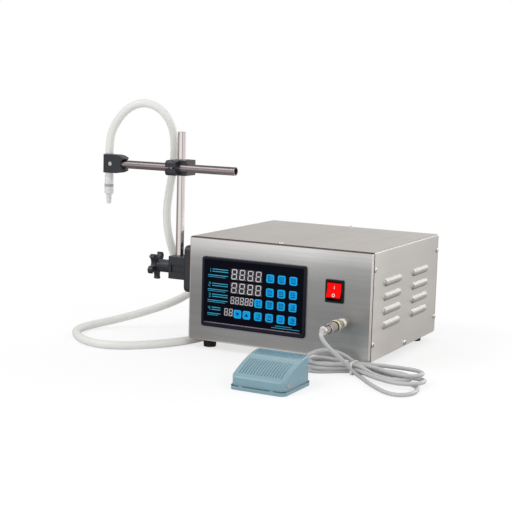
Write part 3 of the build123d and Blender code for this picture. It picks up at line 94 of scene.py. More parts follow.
OUTLET_ROUTE = (
    (-147, -64.5, 88), (-163, -64.5, 88), (-178, -66.5, 91.2), (-190.5, -71, 100.6),
    (-200, -73.5, 115.5), (-206.4, -76.5, 135), (-211.2, -80.8, 160), (-213, -82.8, 190),
    (-208, -83, 222), (-201.5, -84.5, 252), (-195.7, -90.5, 281), (-193.5, -96.5, 307),
    (-198.5, -104.3, 329), (-213, -110.5, 345), (-235, -116.8, 351), (-257.5, -121.5, 342.5),
    (-275, -125.2, 322.5), (-287, -126, 298), (-287, -126, 272.5),
)
STRETCHES = (74, 114, 74)     # lengths of the outlet hose's last three stretches
INLET_ROUTE = (
    (-147, 19.5, 88), (-170, 19, 87), (-189, 12, 78), (-205, -4, 62),
    (-222, -21, 46), (-247, -39, 33.5), (-281, -58, 20.5), (-313, -80, 10.5), (-332, -109, 6.4),
    (-330, -144, 6), (-309, -177, 6), (-276, -203, 6), (-243, -213, 6), (-214, -205, 6),
    (-190, -184, 6), (-168, -156, 6), (-152, -122, 6), (-143.5, -84, 6), (-140, -42, 6),
    (-141.5, 6, 6), (-140, 50, 6), (-141.5, 88, 6), (-140.5, 118, 6),
)

# The pedal's cord: down from the plug to the tie, eight passes through the tie between the loops
# of the hank, and on from the tie to the pedal. Three layers of cord lie on each other.
LAYER_1, LAYER_2, LAYER_3 = 2.75, 8.25, 13.75
CORD_ROUTE = (
    (100, -196.5, 63), (100, -203.5, 63), (102.8, -208.5, 58), (107.5, -206, 49.5),
    (112, -197, 40), (116.5, -186, 31), (120.5, -174, 22), (124, -166, 14),
    (127.5, -161, 8.5), (133, -161.5, 4.5),
    # first loop to the right, lowest and longest
    (142, -168, LAYER_1), (155, -183, LAYER_1), (169, -199, LAYER_1), (187, -217, LAYER_1),
    (204, -231, LAYER_1), (219, -236, LAYER_1), (231, -229, LAYER_1), (236, -215, LAYER_1),
    (235, -199, LAYER_1), (229, -184, LAYER_1), (216, -171, LAYER_1), (196, -163, LAYER_1),
    (165, -156, LAYER_1), (145, -153, 3.3), (128, -152, 4.1),
    # first loop to the left
    (111, -157, 3.2), (94, -171, LAYER_1), (77, -180, LAYER_1), (61, -174.5, LAYER_1),
    (55, -160, LAYER_1), (61, -145.5, LAYER_1), (76, -139.5, LAYER_1), (94, -139, LAYER_1),
    (111, -142.5, 3.1), (128, -146.5, 4.1),
    # second loop to the right, out below and back on top of the first
    (145, -142.5, 3.2), (165, -138.5, LAYER_1), (190, -138, LAYER_1), (213, -143.5, 3.8),
    (229, -156, 6.5), (235, -174, LAYER_2), (229, -191, LAYER_2), (212, -200, LAYER_2),
    (190, -196, LAYER_2), (168, -184, LAYER_2), (149, -170, LAYER_2), (138, -160.5, 8.6),
    (128, -155.3, 8.9),
    # second loop to the left
    (116, -158, 8.6), (103, -167, LAYER_2), (91, -176, LAYER_2), (77, -178.5, LAYER_2),
    (64, -172, LAYER_2), (59, -158, LAYER_2), (65, -145, LAYER_2), (79, -139.5, LAYER_2),
    (95, -141, LAYER_2), (111, -145.5, 8.6), (128, -149.2, 8.9),
    # third loop to the right, inside the second
    (147, -146, 8.5), (168, -144.5, LAYER_2), (188, -145, LAYER_2), (203, -149.5, LAYER_2),
    (213, -160, LAYER_2), (214.5, -174, LAYER_2), (204, -185, LAYER_2), (188, -185, LAYER_2),
    (170, -175.5, LAYER_2), (155, -167.5, 9.8), (144, -162.5, 13.4), (136, -159.6, 14.8),
    (128, -157.5, 14),
    # third loop to the left, on top
    (117, -160, 13.9), (106, -167, 13.8), (96, -173.5, LAYER_3), (83, -177, LAYER_3),
    (70, -171, LAYER_3), (64.5, -158, LAYER_3), (70, -145, LAYER_3), (83, -139.5, LAYER_3),
    (97, -142, LAYER_3), (109, -147.5, 13.4), (119, -151, 13.2), (128, -152, 13.7),
    # last loop to the right, on top
    (143, -152.5, LAYER_3), (160, -157, LAYER_3), (179, -167, LAYER_3), (196, -176, LAYER_3),
    (212, -177.5, LAYER_3), (224, -169, LAYER_3), (227, -155, LAYER_3), (219, -143, LAYER_3),
    (203, -138, LAYER_3), (183, -138, LAYER_3), (160, -139.5, LAYER_3), (142, -143.5, LAYER_3),
    (128, -146.3, 14),
    # on to the pedal
    (121, -147, 17.5), (114, -151, 23.5), (103, -158, 29), (90, -166, 31.5), (78, -176, 28.5),
    (70, -195, 21.5), (67, -210, 14), (66, -223, 12), (66, -232, 12),
)


def at(x, y, z):
    """Point in metres from millimetres."""
    return Vector((x * MM, y * MM, z * MM))


# Meshes

def mesh_object(name, verts, faces, smooth=True):
    mesh = bpy.data.meshes.new(name)
    mesh.from_pydata([tuple(v) for v in verts], [], faces)
    mesh.update()
    for polygon in mesh.polygons:
        polygon.use_smooth = smooth
    obj = bpy.data.objects.new(name, mesh)
    bpy.context.scene.collection.objects.link(obj)
    return obj


def nurbs_line(name, points):
    """Curve object with one open quadratic NURBS spline through the route's points."""
    curve = bpy.data.curves.new(name, "CURVE")
    curve.dimensions = "3D"
    spline = curve.splines.new("NURBS")
    spline.points.add(len(points) - 1)
    for point, place in zip(spline.points, points):
        point.co = (*[c * MM for c in place], 1)
    spline.order_u = 3
    spline.use_endpoint_u = True
    curve.resolution_u = 8
    obj = bpy.data.objects.new(name, curve)
    bpy.context.scene.collection.objects.link(obj)
    return obj


def line_points(points, step=2.5):
    """Evenly spaced points along the route's NURBS line, in metres."""
    obj = nurbs_line("reading", points)
    mesh = bpy.data.meshes.new_from_object(obj)
    raw = [v.co.copy() for v in mesh.vertices]
    bpy.data.objects.remove(obj)
    bpy.data.meshes.remove(mesh)
    return even(raw, step * MM)


def even(raw, step):
    """Points a near-even step apart on a polyline, both ends kept."""
    lengths = [0.0]
    for a, b in zip(raw, raw[1:]):
        lengths.append(lengths[-1] + (b - a).length)
    count = max(2, round(lengths[-1] / step) + 1)
    out = []
    k = 0
    for n in range(count):
        s = lengths[-1] * n / (count - 1)
        while k < len(raw) - 2 and lengths[k + 1] < s:
            k += 1
        span = lengths[k + 1] - lengths[k]
        share = 0 if span == 0 else (s - lengths[k]) / span
        out.append(raw[k].lerp(raw[k + 1], min(1, share)))
    return out


def path_length(points):
    return sum((b - a).length for a, b in zip(points, points[1:]))


def frames_along(points):
    """A sideways and an upward direction at each point, carried along without twist."""
    out = []
    up = None
    for n in range(len(points)):
        a = points[max(0, n - 1)]
        b = points[min(len(points) - 1, n + 1)]
        t = (b - a).normalized()
        if up is None:
            up = Vector((0, 0, 1)) if abs(t.z) < 0.9 else Vector((0, 1, 0))
        side = t.cross(up).normalized()
        up = side.cross(t).normalized()
        out.append((side, up))
    return out


def tube(name, points, radius, sides=24, bore=None, rims=(True, True), rings=None):
    """Mesh tube along points; with a bore it is open and rims join its two skins."""
    verts, faces = [], []
    shells = [radius] if bore is None else [radius, bore]
    rings = rings or frames_along(points)
    for r in shells:
        for n, (p, (side, up)) in enumerate(zip(points, rings)):
            size = r[n] if isinstance(r, (list, tuple)) else r
            for k in range(sides):
                a = 2 * math.pi * k / sides
                verts.append(p + (side * math.cos(a) + up * math.sin(a)) * size)
    per = len(points) * sides
    for shell in range(len(shells)):
        for n in range(len(points) - 1):
            for k in range(sides):
                a = shell * per + n * sides + k
                b = shell * per + n * sides + (k + 1) % sides
                quad = (a, b, b + sides, a + sides)
                faces.append(quad if shell == 0 else quad[::-1])
    if bore is not None:
        for end in [e for e, rim in zip((0, len(points) - 1), rims) if rim]:
            for k in range(sides):
                a, b = end * sides + k, end * sides + (k + 1) % sides
                quad = (a, per + a, per + b, b)
                faces.append(quad if end == 0 else quad[::-1])
    else:
        last = (len(points) - 1) * sides
        faces.append(tuple(range(sides))[::-1])
        faces.append(tuple(last + k for k in range(sides)))
    obj = mesh_object(name, verts, faces)
    for polygon in obj.data.polygons:
        if len(polygon.vertices) > 4:
            polygon.use_smooth = False
    return obj


# Materials

def material(name, base, metallic=0.0, roughness=0.5, **sockets):
    """Principled material; further sockets by their names with _ for a space."""
    mat = bpy.data.materials.new(name)
    mat.use_nodes = True
    bsdf = mat.node_tree.nodes["Principled BSDF"]
    bsdf.inputs["Base Color"].default_value = (*base, 1)
    bsdf.inputs["Metallic"].default_value = metallic
    bsdf.inputs["Roughness"].default_value = roughness
    for key, value in sockets.items():
        bsdf.inputs[key.replace("_", " ")].default_value = value
    return mat


def node(tree, kind, **inputs):
    """Shader node with values or links on its inputs, by name or number (as i0, i1)."""
    made = tree.nodes.new(kind)
    for key, value in inputs.items():
        index = int(key[1:]) if key[0] == "i" and key[1:].isdigit() else key.replace("_", " ")
        socket = made.inputs[index]
        if isinstance(value, bpy.types.NodeSocket):
            tree.links.new(value, socket)
        else:
            socket.default_value = value
    return made


def math_node(tree, operation, a, b=0.0, c=None):
    """Result of a Math node; c is the number added in a * b + c."""
    made = node(tree, "ShaderNodeMath", i0=a, i1=b)
    made.operation = operation
    if c is not None:
        made.inputs[2].default_value = c
    return made.outputs[0]


def place_of(tree):
    """Object coordinates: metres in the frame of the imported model."""
    return tree.nodes.new("ShaderNodeTexCoord").outputs["Object"]


def axes_of(tree):
    return node(tree, "ShaderNodeSeparateXYZ", Vector=place_of(tree)).outputs


def facing_of(tree):
    """X, Y and Z of the direction that the surface faces."""
    normal = tree.nodes.new("ShaderNodeTexCoord").outputs["Normal"]
    return node(tree, "ShaderNodeSeparateXYZ", Vector=normal).outputs


def off_by(tree, value, place):
    """How far a coordinate lies from a place in millimetres."""
    return math_node(tree, "ABSOLUTE", math_node(tree, "SUBTRACT", value, place * MM))


def noise(tree, scale, stretch=(1, 1, 1), detail=3.0, roughness=0.55):
    mapped = node(tree, "ShaderNodeMapping", Vector=place_of(tree), Scale=stretch)
    return node(tree, "ShaderNodeTexNoise", Vector=mapped.outputs[0], Scale=scale, Detail=detail,
                Roughness=roughness).outputs["Fac"]


def ramp(tree, value, stops):
    """Colours or numbers at places from 0 to 1."""
    made = node(tree, "ShaderNodeValToRGB", Fac=value)
    elements = made.color_ramp.elements
    while len(elements) < len(stops):
        elements.new(0.5)
    for element, (place, colour) in zip(elements, stops):
        element.position = place
        if not isinstance(colour, (tuple, list)):
            colour = (colour,) * 3
        element.color = (*colour, 1)
    return made.outputs["Color"]


def mixed(tree, share, a, b):
    """Colour a where the share is 0, colour b where it is 1."""
    made = tree.nodes.new("ShaderNodeMix")
    made.data_type = "RGBA"
    for socket, value in ((made.inputs[0], share), (made.inputs[6], a), (made.inputs[7], b)):
        if isinstance(value, bpy.types.NodeSocket):
            tree.links.new(value, socket)
        else:
            socket.default_value = (*value, 1) if isinstance(value, tuple) else value
    return made.outputs[2]


def times(tree, share, a, b):
    """Colour a, multiplied by b where the share is 1."""
    colour = mixed(tree, share, a, b)
    colour.node.blend_type = "MULTIPLY"
    return colour


def shader(mat):
    return mat.node_tree, mat.node_tree.nodes["Principled BSDF"]


def colour_by(mat, colour):
    tree, bsdf = shader(mat)
    tree.links.new(colour, bsdf.inputs["Base Color"])


def coloured(mat):
    """The material's node tree, and the colour that it has so far."""
    tree, bsdf = shader(mat)
    return tree, bsdf.inputs["Base Color"].links[0].from_socket


def rough_by(mat, value, low, high):
    tree, bsdf = shader(mat)
    spread = math_node(tree, "MULTIPLY_ADD", value, high - low, low)
    tree.links.new(spread, bsdf.inputs["Roughness"])


def bump_by(mat, height, distance):
    tree, bsdf = shader(mat)
    made = node(tree, "ShaderNodeBump", Height=height, Distance=distance, Strength=1.0)
    tree.links.new(made.outputs[0], bsdf.inputs["Normal"])


def between(tree, value, low, high):
    """0 below low, 1 above high, straight between."""
    made = node(tree, "ShaderNodeMapRange", Value=value)
    made.inputs["From Min"].default_value = low
    made.inputs["From Max"].default_value = high
    return made.outputs[0]


def span(tree, value, low, high):
    """0 at low, 1 at high, straight between, both in millimetres."""
    return between(tree, value, low * MM, high * MM)


STREAK_STRETCH = 0.018        # scale of the streaks along their axis
STREAK_DEPTH = 0.00001
GRAIN_SCALE = 1400.0


def cloudy(tree, value, base, spread):
    """The base colour made darker or paler by the spread, as the value says."""
    dark = tuple(c * (1 - spread) for c in base)
    pale = tuple(min(1, c * (1 + spread)) for c in base)
    return ramp(tree, value, ((0.35, dark), (0.65, pale)))


def brushed(name, base, roughness, along, fine=900.0, spread=0.10):
    """Brushed or rolled steel with streaks along one axis."""
    mat = material(name, base, metallic=1.0, roughness=roughness)
    tree, _ = shader(mat)
    stretch = [1.0, 1.0, 1.0]
    stretch["XYZ".index(along)] = STREAK_STRETCH
    streaks = noise(tree, fine, stretch, detail=4.0, roughness=0.7)
    broad = noise(tree, fine * 0.16, stretch, detail=2.0)
    cloud = noise(tree, 9.0, detail=2.0)
    shade = 0.0
    for layer, share in ((streaks, 0.45), (broad, 0.35), (cloud, 0.20)):
        shade = math_node(tree, "ADD", shade, math_node(tree, "MULTIPLY", layer, share))
    colour_by(mat, cloudy(tree, shade, base, spread))
    rough_by(mat, shade, roughness - 0.10, roughness + 0.12)
    bump_by(mat, streaks, STREAK_DEPTH)
    return mat


def moulded(name, base, roughness, grain=0.00002, spread=0.12, **sockets):
    """Moulded plastic or rubber with a fine grain and slight cloudiness."""
    mat = material(name, base, roughness=roughness, **sockets)
    tree, _ = shader(mat)
    cloud = noise(tree, 35.0)
    colour_by(mat, cloudy(tree, cloud, base, spread))
    rough_by(mat, cloud, roughness - 0.05, roughness + 0.07)
    bump_by(mat, noise(tree, GRAIN_SCALE, detail=2.0), grain)
    return mat


# painted glow: emission that brightens the red of the rocker
RED_GLOW = 0.15
NICKEL = (0.92, 0.89, 0.84)
PEDAL_LOOK = {"base": (0.205, 0.345, 0.400), "roughness": 0.30, "grain": 0.000002,
              "spread": 0.03, "Coat_Weight": 0.4, "Coat_Roughness": 0.16}
M = {
    "front": brushed("front_steel", (0.63, 0.625, 0.62), 0.36, "X"),
    "inner": brushed("inner_steel", (0.55, 0.55, 0.54), 0.40, "X"),
    "cover": brushed("cover_steel", (0.66, 0.645, 0.62), 0.46, "Y", fine=500.0, spread=0.05),
    "tube": brushed("tube_steel", (0.82, 0.775, 0.765), 0.10, "Z", fine=700.0, spread=0.04),
    "arm": brushed("arm_steel", (0.34, 0.295, 0.305), 0.36, "X", fine=700.0, spread=0.10),
    "screw": brushed("screw_steel", (0.74, 0.73, 0.70), 0.24, "Z", spread=0.08),
    "gear": brushed("gear_steel", (0.55, 0.56, 0.58), 0.30, "X"),
    "metal": brushed("pump_metal", (0.66, 0.67, 0.68), 0.38, "Z"),
    "brass": brushed("port_brass", (0.70, 0.58, 0.34), 0.26, "Z"),
    "motor": moulded("motor_paint", (0.10, 0.11, 0.12), 0.38),
    "rubber": moulded("foot_rubber", (0.012, 0.012, 0.012), 0.62),
    "black": moulded("black_plastic", (0.020, 0.022, 0.028), 0.40, grain=0.00004),
    "bezel": moulded("bezel_plastic", (0.006, 0.007, 0.016), 0.22, grain=0.000004,
                     Specular_IOR_Level=0.22),
    "overlay": moulded("overlay_gloss", (0.0012, 0.0018, 0.006), 0.20, grain=0.000002,
                       Specular_IOR_Level=0.05),
    "switch": moulded("switch_black", (0.010, 0.006, 0.005), 0.30, grain=0.000004,
                      Specular_IOR_Level=0.2),
    "red": moulded("rocker_red", (0.84, 0.004, 0.003), 0.34, spread=0.05,
                   Specular_IOR_Level=0.02, Emission_Color=(0.9, 0.003, 0.002, 1),
                   Emission_Strength=RED_GLOW),
    "key": moulded("key_blue", (0.004, 0.31, 0.72), 0.40, spread=0.06, Specular_IOR_Level=0.05),
    "key_rim": moulded("key_rim_blue", (0.015, 0.42, 0.80), 0.40, spread=0.04,
                       Specular_IOR_Level=0.05),
    "mark": moulded("key_mark", (0.002, 0.020, 0.075), 0.45, Specular_IOR_Level=0.05),
    "digit": moulded("digit_white", (0.60, 0.565, 0.60), 0.45),
    "label": moulded("label_cyan", (0.010, 0.30, 0.46), 0.40),
    "white": moulded("tie_white", (0.80, 0.80, 0.80), 0.40),
    "cord": moulded("cord_grey", (0.50, 0.50, 0.505), 0.36, grain=0.000004, spread=0.04),
    "ring": moulded("ring_grey", (0.36, 0.36, 0.38), 0.45),
    "pedal": moulded("pedal_blue", **PEDAL_LOOK),
    # the hose's emission is a painted glow that evens out its shading
    "hose": moulded("hose_silicone", (0.69, 0.688, 0.665), 0.42, grain=0.000001, spread=0.02,
                    Emission_Color=(0.9, 0.9, 0.87, 1), Emission_Strength=0.06),
    "clear": moulded("clear_plastic", (0.86, 0.86, 0.86), 0.14, grain=0.000001, spread=0.04,
                     Transmission_Weight=0.25, IOR=1.46, Coat_Weight=0.5,
                     Coat_Roughness=0.08),
    # purple-grey of the painted reflection along the bezel's foot
    "strip": moulded("reflection_strip_purple", (0.16, 0.115, 0.165), 0.25, grain=0.000002),
}


# Painted light, shade and reflections, as factors on a colour, from the low or front end of a
# length, 0, to its other end, 1
ARM_PAINTED_REFLECTIONS = ((0.0, 1.6), (0.2, 1.4), (0.32, 1.0), (0.5, 1.3), (0.62, 0.66), (0.75, 0.74),
              (0.86, 0.36), (1.0, 0.30))
FRONT_PAINTED_REFLECTIONS = ((0.0, 0.80), (0.15, 0.66), (0.40, 0.56), (0.66, 0.60), (0.82, 0.82), (0.92, 1.25),
                (1.0, 1.40))
SIDE_PAINTED_LIGHT = ((0.0, 1.30), (0.25, 1.14), (0.6, 0.97), (0.85, 0.90), (1.0, 0.88))
DEPTH_PAINTED_LIGHT = ((0.0, 1.14), (0.25, 1.0), (0.6, 0.95), (1.0, 0.84))
# painted shadow in the seams between the front panel and the cover
SEAM_SHADOW_BROWN = (0.085, 0.060, 0.052)

# Where marks begin and are full, painted light and shade among them, in millimetres
# painted light on the front panel's right part: paler at its foot, duller at its head
RIGHT_PART = (50, 110)        # of the front panel, along X
PAINTED_PALE_FOOT = (60, 20)          # of that part, along Z
PAINTED_DULL_HEAD = (115, 140)
EDGE_INSET = 2.4              # of the front panel's rounded edge
PLUG_RING = (-160.6, -147.4)  # along Y
# painted shadow lines in the plug's grooves
PLUG_GROOVE_SHADOWS = (-161.2, -146.4, -182.6)
BOARD_FACE = (-127.0, -126.5)
# where the painted shadow in the pedal's gap lies, and the lugs that break it
PEDAL_GAP = (4.5, 6.4)        # along Z
PEDAL_LUGS = (42.0, 86.0)     # along X
LUG_HALF = 2.2


def painted_arm_reflections():
    """Painted reflections: long stripes of the room in the arm's colour, darker on its upper side.
    """
    tree, steel = coloured(M["arm"])
    height = span(tree, axes_of(tree)[2], ARM_Z - ARM_R, ARM_Z + ARM_R)
    colour_by(M["arm"], times(tree, 1.0, steel, ramp(tree, height, ARM_PAINTED_REFLECTIONS)))


def painted_flank_shadow():
    """Painted shadow: the rocker's side walls are darkened as in the shadow of its housing, and the
    painted glow is taken off them.
    """
    mat = M["red"]
    tree, red = coloured(mat)
    flank = between(tree, math_node(tree, "ABSOLUTE", facing_of(tree)[0]), 0.6, 0.8)
    colour_by(mat, mixed(tree, flank, red, (0.05, 0.003, 0.002)))
    glow = math_node(tree, "MULTIPLY_ADD", flank, -RED_GLOW, RED_GLOW)
    tree.links.new(glow, shader(mat)[1].inputs["Emission Strength"])


def pedal_gap_shadow():
    """The tray of the pedal, with painted shadow in the gap to the treadle, which two lugs cross in
    front.
    """
    mat = moulded("pedal_tray_blue", **PEDAL_LOOK)
    tree, blue = coloured(mat)
    x, _, z = axes_of(tree)
    low, high = PEDAL_GAP
    line = math_node(tree, "MULTIPLY", span(tree, z, low, low + 0.3),
                     span(tree, z, high, high - 0.4))
    for place in PEDAL_LUGS:
        beside = span(tree, off_by(tree, x, place), LUG_HALF, LUG_HALF + 0.4)
        line = math_node(tree, "MULTIPLY", line, beside)
    colour_by(mat, mixed(tree, line, blue, (0.020, 0.055, 0.085)))
    return mat


def plated():
    """Nickel, gilded on the plug's ring, with painted shadow in its grooves."""
    mat = material("nickel", NICKEL, metallic=0.88, roughness=0.14)
    tree, _ = shader(mat)
    y = axes_of(tree)[1]
    low, high = PLUG_RING
    ring = math_node(tree, "MULTIPLY", span(tree, y, low, low + 0.2),
                     span(tree, y, high, high - 0.2))
    metal = mixed(tree, ring, NICKEL, (0.94, 0.86, 0.66))
    groove = 0.0
    for place in PLUG_GROOVE_SHADOWS:
        groove = math_node(tree, "MAXIMUM", groove, span(tree, off_by(tree, y, place), 1.0, 0.7))
    colour_by(mat, mixed(tree, groove, metal, (0.10, 0.075, 0.055)))
    rough_by(mat, noise(tree, 400.0), 0.08, 0.22)
    return mat


def board():
    """Dark digit modules in front, green board behind."""
    mat = material("board", (0.02, 0.1, 0.05), roughness=0.4)
    tree, _ = shader(mat)
    behind = span(tree, axes_of(tree)[1], *BOARD_FACE)
    colour_by(mat, mixed(tree, behind, (0.006, 0.006, 0.012), (0.02, 0.12, 0.06)))
    rough_by(mat, noise(tree, 200.0), 0.25, 0.4)
    return mat


def painted_front_reflections():
    """Painted reflections in the front panel's colour: a pale ceiling at its top and a dim room
    below, with a paler foot and a duller head on its right part.
    """
    tree, steel = coloured(M["front"])
    x, _, z = axes_of(tree)
    height = span(tree, z, CASE_FOOT, CASE_TOP)
    steel = times(tree, 1.0, steel, ramp(tree, height, FRONT_PAINTED_REFLECTIONS))
    right = span(tree, x, *RIGHT_PART)
    low = math_node(tree, "MULTIPLY", right, span(tree, z, *PAINTED_PALE_FOOT))
    high = math_node(tree, "MULTIPLY", right, span(tree, z, *PAINTED_DULL_HEAD))
    steel = times(tree, low, steel, (1.70, 1.67, 1.65))
    colour_by(M["front"], times(tree, high, steel, (0.84, 0.84, 0.84)))


def painted_cover_light():
    """Painted light and shade on the cover: sides paler towards the floor and the front, darker
    folds and louvre hoods, and painted highlights on the hoods' rear ends.
    """
    tree, steel = coloured(M["cover"])
    x, y, z = axes_of(tree)
    out = math_node(tree, "ABSOLUTE", x)
    side = span(tree, out, CASE_HALF - 0.8, CASE_HALF - 0.4)
    hood = span(tree, out, CASE_HALF + 0.2, CASE_HALF + 0.7)
    # painted shade along the cover's top folds
    fold = math_node(tree, "MULTIPLY", span(tree, out, CASE_HALF - 2.4, CASE_HALF - 1.8),
                     span(tree, z, CASE_TOP - 2.4, CASE_TOP - 1.8))
    height = span(tree, z, CASE_FOOT, CASE_TOP)
    depth = span(tree, y, -CASE_BACK, CASE_BACK)
    steel = times(tree, side, steel, ramp(tree, height, SIDE_PAINTED_LIGHT))
    steel = times(tree, fold, steel, (0.60, 0.59, 0.58))
    steel = times(tree, side, steel, ramp(tree, depth, DEPTH_PAINTED_LIGHT))
    steel = times(tree, hood, steel, (0.86, 0.85, 0.83))
    # painted shade on the hoods' tops and painted highlights on their rear ends
    _, turned, up = facing_of(tree)
    upper = math_node(tree, "MULTIPLY", hood, between(tree, up, -0.25, 0.4))
    end = math_node(tree, "MULTIPLY", hood, between(tree, turned, 0.10, 0.24))
    steel = mixed(tree, upper, steel, (0.33, 0.325, 0.31))
    colour_by(M["cover"], mixed(tree, end, steel, (0.80, 0.79, 0.77)))


def edge_share(tree):
    """1 on the rounded side and lower edges of the front panel, 0 on its flat."""
    x, _, z = axes_of(tree)
    side = math_node(tree, "SUBTRACT", math_node(tree, "ABSOLUTE", x),
                     (CASE_HALF - EDGE_INSET) * MM)
    under = math_node(tree, "SUBTRACT", (CASE_FOOT + EDGE_INSET) * MM, z)
    return span(tree, math_node(tree, "MAXIMUM", side, under), 0.0, 0.4)


def painted_edge_highlight():
    """Painted highlight on the front panel's rounded edge, and painted shadow in the seam behind it
    and along the cover's front edge.
    """
    tree, steel = coloured(M["front"])
    _, y, z = axes_of(tree)
    near = span(tree, y, FRONT + 3.5, FRONT + 3.3)
    edge = math_node(tree, "MULTIPLY", near, edge_share(tree))
    pale = mixed(tree, edge, steel, (0.98, 0.93, 0.88))
    seam = math_node(tree, "MAXIMUM", span(tree, y, FRONT + 1.8, FRONT + 2.1),
                     span(tree, z, CASE_TOP - 2.0, CASE_TOP - 1.7))
    dark = math_node(tree, "MULTIPLY", near, seam)
    colour_by(M["front"], mixed(tree, dark, pale, SEAM_SHADOW_BROWN))
    tree, steel = coloured(M["cover"])
    seam = span(tree, axes_of(tree)[1], FRONT + 4.9, FRONT + 4.6)
    colour_by(M["cover"], mixed(tree, seam, steel, SEAM_SHADOW_BROWN))


painted_arm_reflections()
painted_flank_shadow()
painted_front_reflections()
painted_cover_light()
painted_edge_highlight()
M["nickel"] = plated()
M["board"] = board()
M["tray"] = pedal_gap_shadow()

NODE_LOOKS = {
    "front": ("chassis_tray",),
    "inner": ("pump_mount",),
    "cover": ("top_cover",),
    "tube": ("mast_tube",),
    "arm": ("arm_tube",),
    "screw": ("case_fasteners", "clamp_screws", "head_screw", "pedal_pin", "pedal_spring"),
    "gear": ("drive_gear", "driven_gear"),
    "metal": ("pump_body", "pump_cover", "power_supply"),
    "brass": ("hose_ports",),
    "motor": ("pump_motor",),
    "rubber": ("case_feet",),
    "black": ("mast_bracket", "star_knob", "cross_clamp", "nozzle_head"),
    "bezel": ("panel_bezel",),
    "overlay": ("panel_overlay",),
    "switch": ("rocker_housing", "power_inlet", "pedal_switch"),
    "red": ("rocker_button",),
    "nickel": ("cable_socket", "cable_plug"),
    "board": ("display_board",),
    "clear": ("hose_connector", "nozzle_tip"),
    "ring": ("seal_ring",),
    "pedal": ("pedal_treadle",),
    "tray": ("pedal_base",),
    "white": ("cable_tie",),
    "hose": ("pump_tubes", "outlet_hose_end"),
    "key": tuple(f"key_{n:02d}" for n in range(1, 17)),
}


def paint(obj, look):
    if obj.material_slots:
        for slot in obj.material_slots:
            slot.material = M[look]
    else:
        obj.data.materials.append(M[look])


def dress(obj, look, body):
    """Material, material slot and body of a new piece."""
    paint(obj, look)
    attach(obj, body)


for look, names in NODE_LOOKS.items():
    for name in names:
        paint(NODES[name], look)


# Camera, light and floor

LENS = 86.29            # millimetres, on a sensor of 36
CAMERA_AT = (0.7417, -1.6468, 0.3848)
CAMERA_TURN, CAMERA_DIP, CAMERA_ROLL = 27.143, 8.0756, 1.6315
CAMERA_SIDE = -65.8     # degrees from +X to where the camera stands
WORLD_LEVEL = 0.80
FLOOR_HALF = 6.0
FLOOR_SHARE = 0.70      # least share of plain white in the floor that the camera sees


def add_camera():
    data = bpy.data.cameras.new("camera")
    data.lens = LENS
    data.sensor_width = 36.0
    data.clip_end = 20.0
    camera = bpy.data.objects.new("camera", data)
    bpy.context.scene.collection.objects.link(camera)
    camera.location = CAMERA_AT
    turn = (Matrix.Rotation(math.radians(CAMERA_TURN), 3, "Z")
            @ Matrix.Rotation(math.radians(90 - CAMERA_DIP), 3, "X")
            @ Matrix.Rotation(math.radians(CAMERA_ROLL), 3, "Z"))
    camera.rotation_euler = turn.to_euler()
    bpy.context.scene.camera = camera


def band_place(offset):
    """Place on the ramp for a direction so many degrees right of the camera's."""
    return (CAMERA_SIDE + offset + 180) % 360 / 360


BROWN = (0.30, 0.25, 0.24)
PALE = (0.95, 0.95, 0.95)
BAND_STOPS = sorted((
    (band_place(-170), BROWN), (band_place(-75), (0.36, 0.31, 0.30)), (band_place(-55), PALE),
    (band_place(9), PALE), (band_place(15), (0.36, 0.31, 0.31)),
    (band_place(31), (0.40, 0.35, 0.34)), (band_place(38), PALE),
    (band_place(50), PALE), (band_place(62), (0.55, 0.48, 0.47)),
    (band_place(75), (0.82, 0.78, 0.77)), (band_place(110), (0.84, 0.82, 0.80)),
    (band_place(125), (1.10, 1.07, 1.04)), (band_place(160), (1.0, 0.97, 0.95)),
    (band_place(178), BROWN),
), key=lambda stop: stop[0])


def bands(tree, direction):
    """Brightness of the studio by direction, as polished metal mirrors it."""
    x, y, _ = node(tree, "ShaderNodeSeparateXYZ", Vector=direction).outputs
    turn = math_node(tree, "ARCTAN2", y, x)
    return ramp(tree, math_node(tree, "MULTIPLY_ADD", turn, 1 / (2 * math.pi), 0.5), BAND_STOPS)


def see_through_rays(tree):
    """1 for rays from the camera, mirrors and glass, which see the pale backdrop."""
    path = tree.nodes.new("ShaderNodeLightPath").outputs
    return path["Is Camera Ray"], math_node(
        tree, "MAXIMUM", path["Is Glossy Ray"], path["Is Transmission Ray"])


def add_world():
    world = bpy.data.worlds.new("studio")
    bpy.context.scene.world = world
    world.use_nodes = True
    tree = world.node_tree
    back = tree.nodes["Background"]
    direction = tree.nodes.new("ShaderNodeTexCoord").outputs["Generated"]
    camera, mirror = see_through_rays(tree)
    up = node(tree, "ShaderNodeSeparateXYZ", Vector=direction).outputs[2]
    high = between(tree, up, 0.15, 0.6)
    studio = mixed(tree, high, bands(tree, direction), (0.88, 0.88, 0.88))
    level = mixed(tree, mirror, (WORLD_LEVEL,) * 3, studio)
    tree.links.new(mixed(tree, camera, level, (1.0, 1.0, 1.0)), back.inputs["Color"])


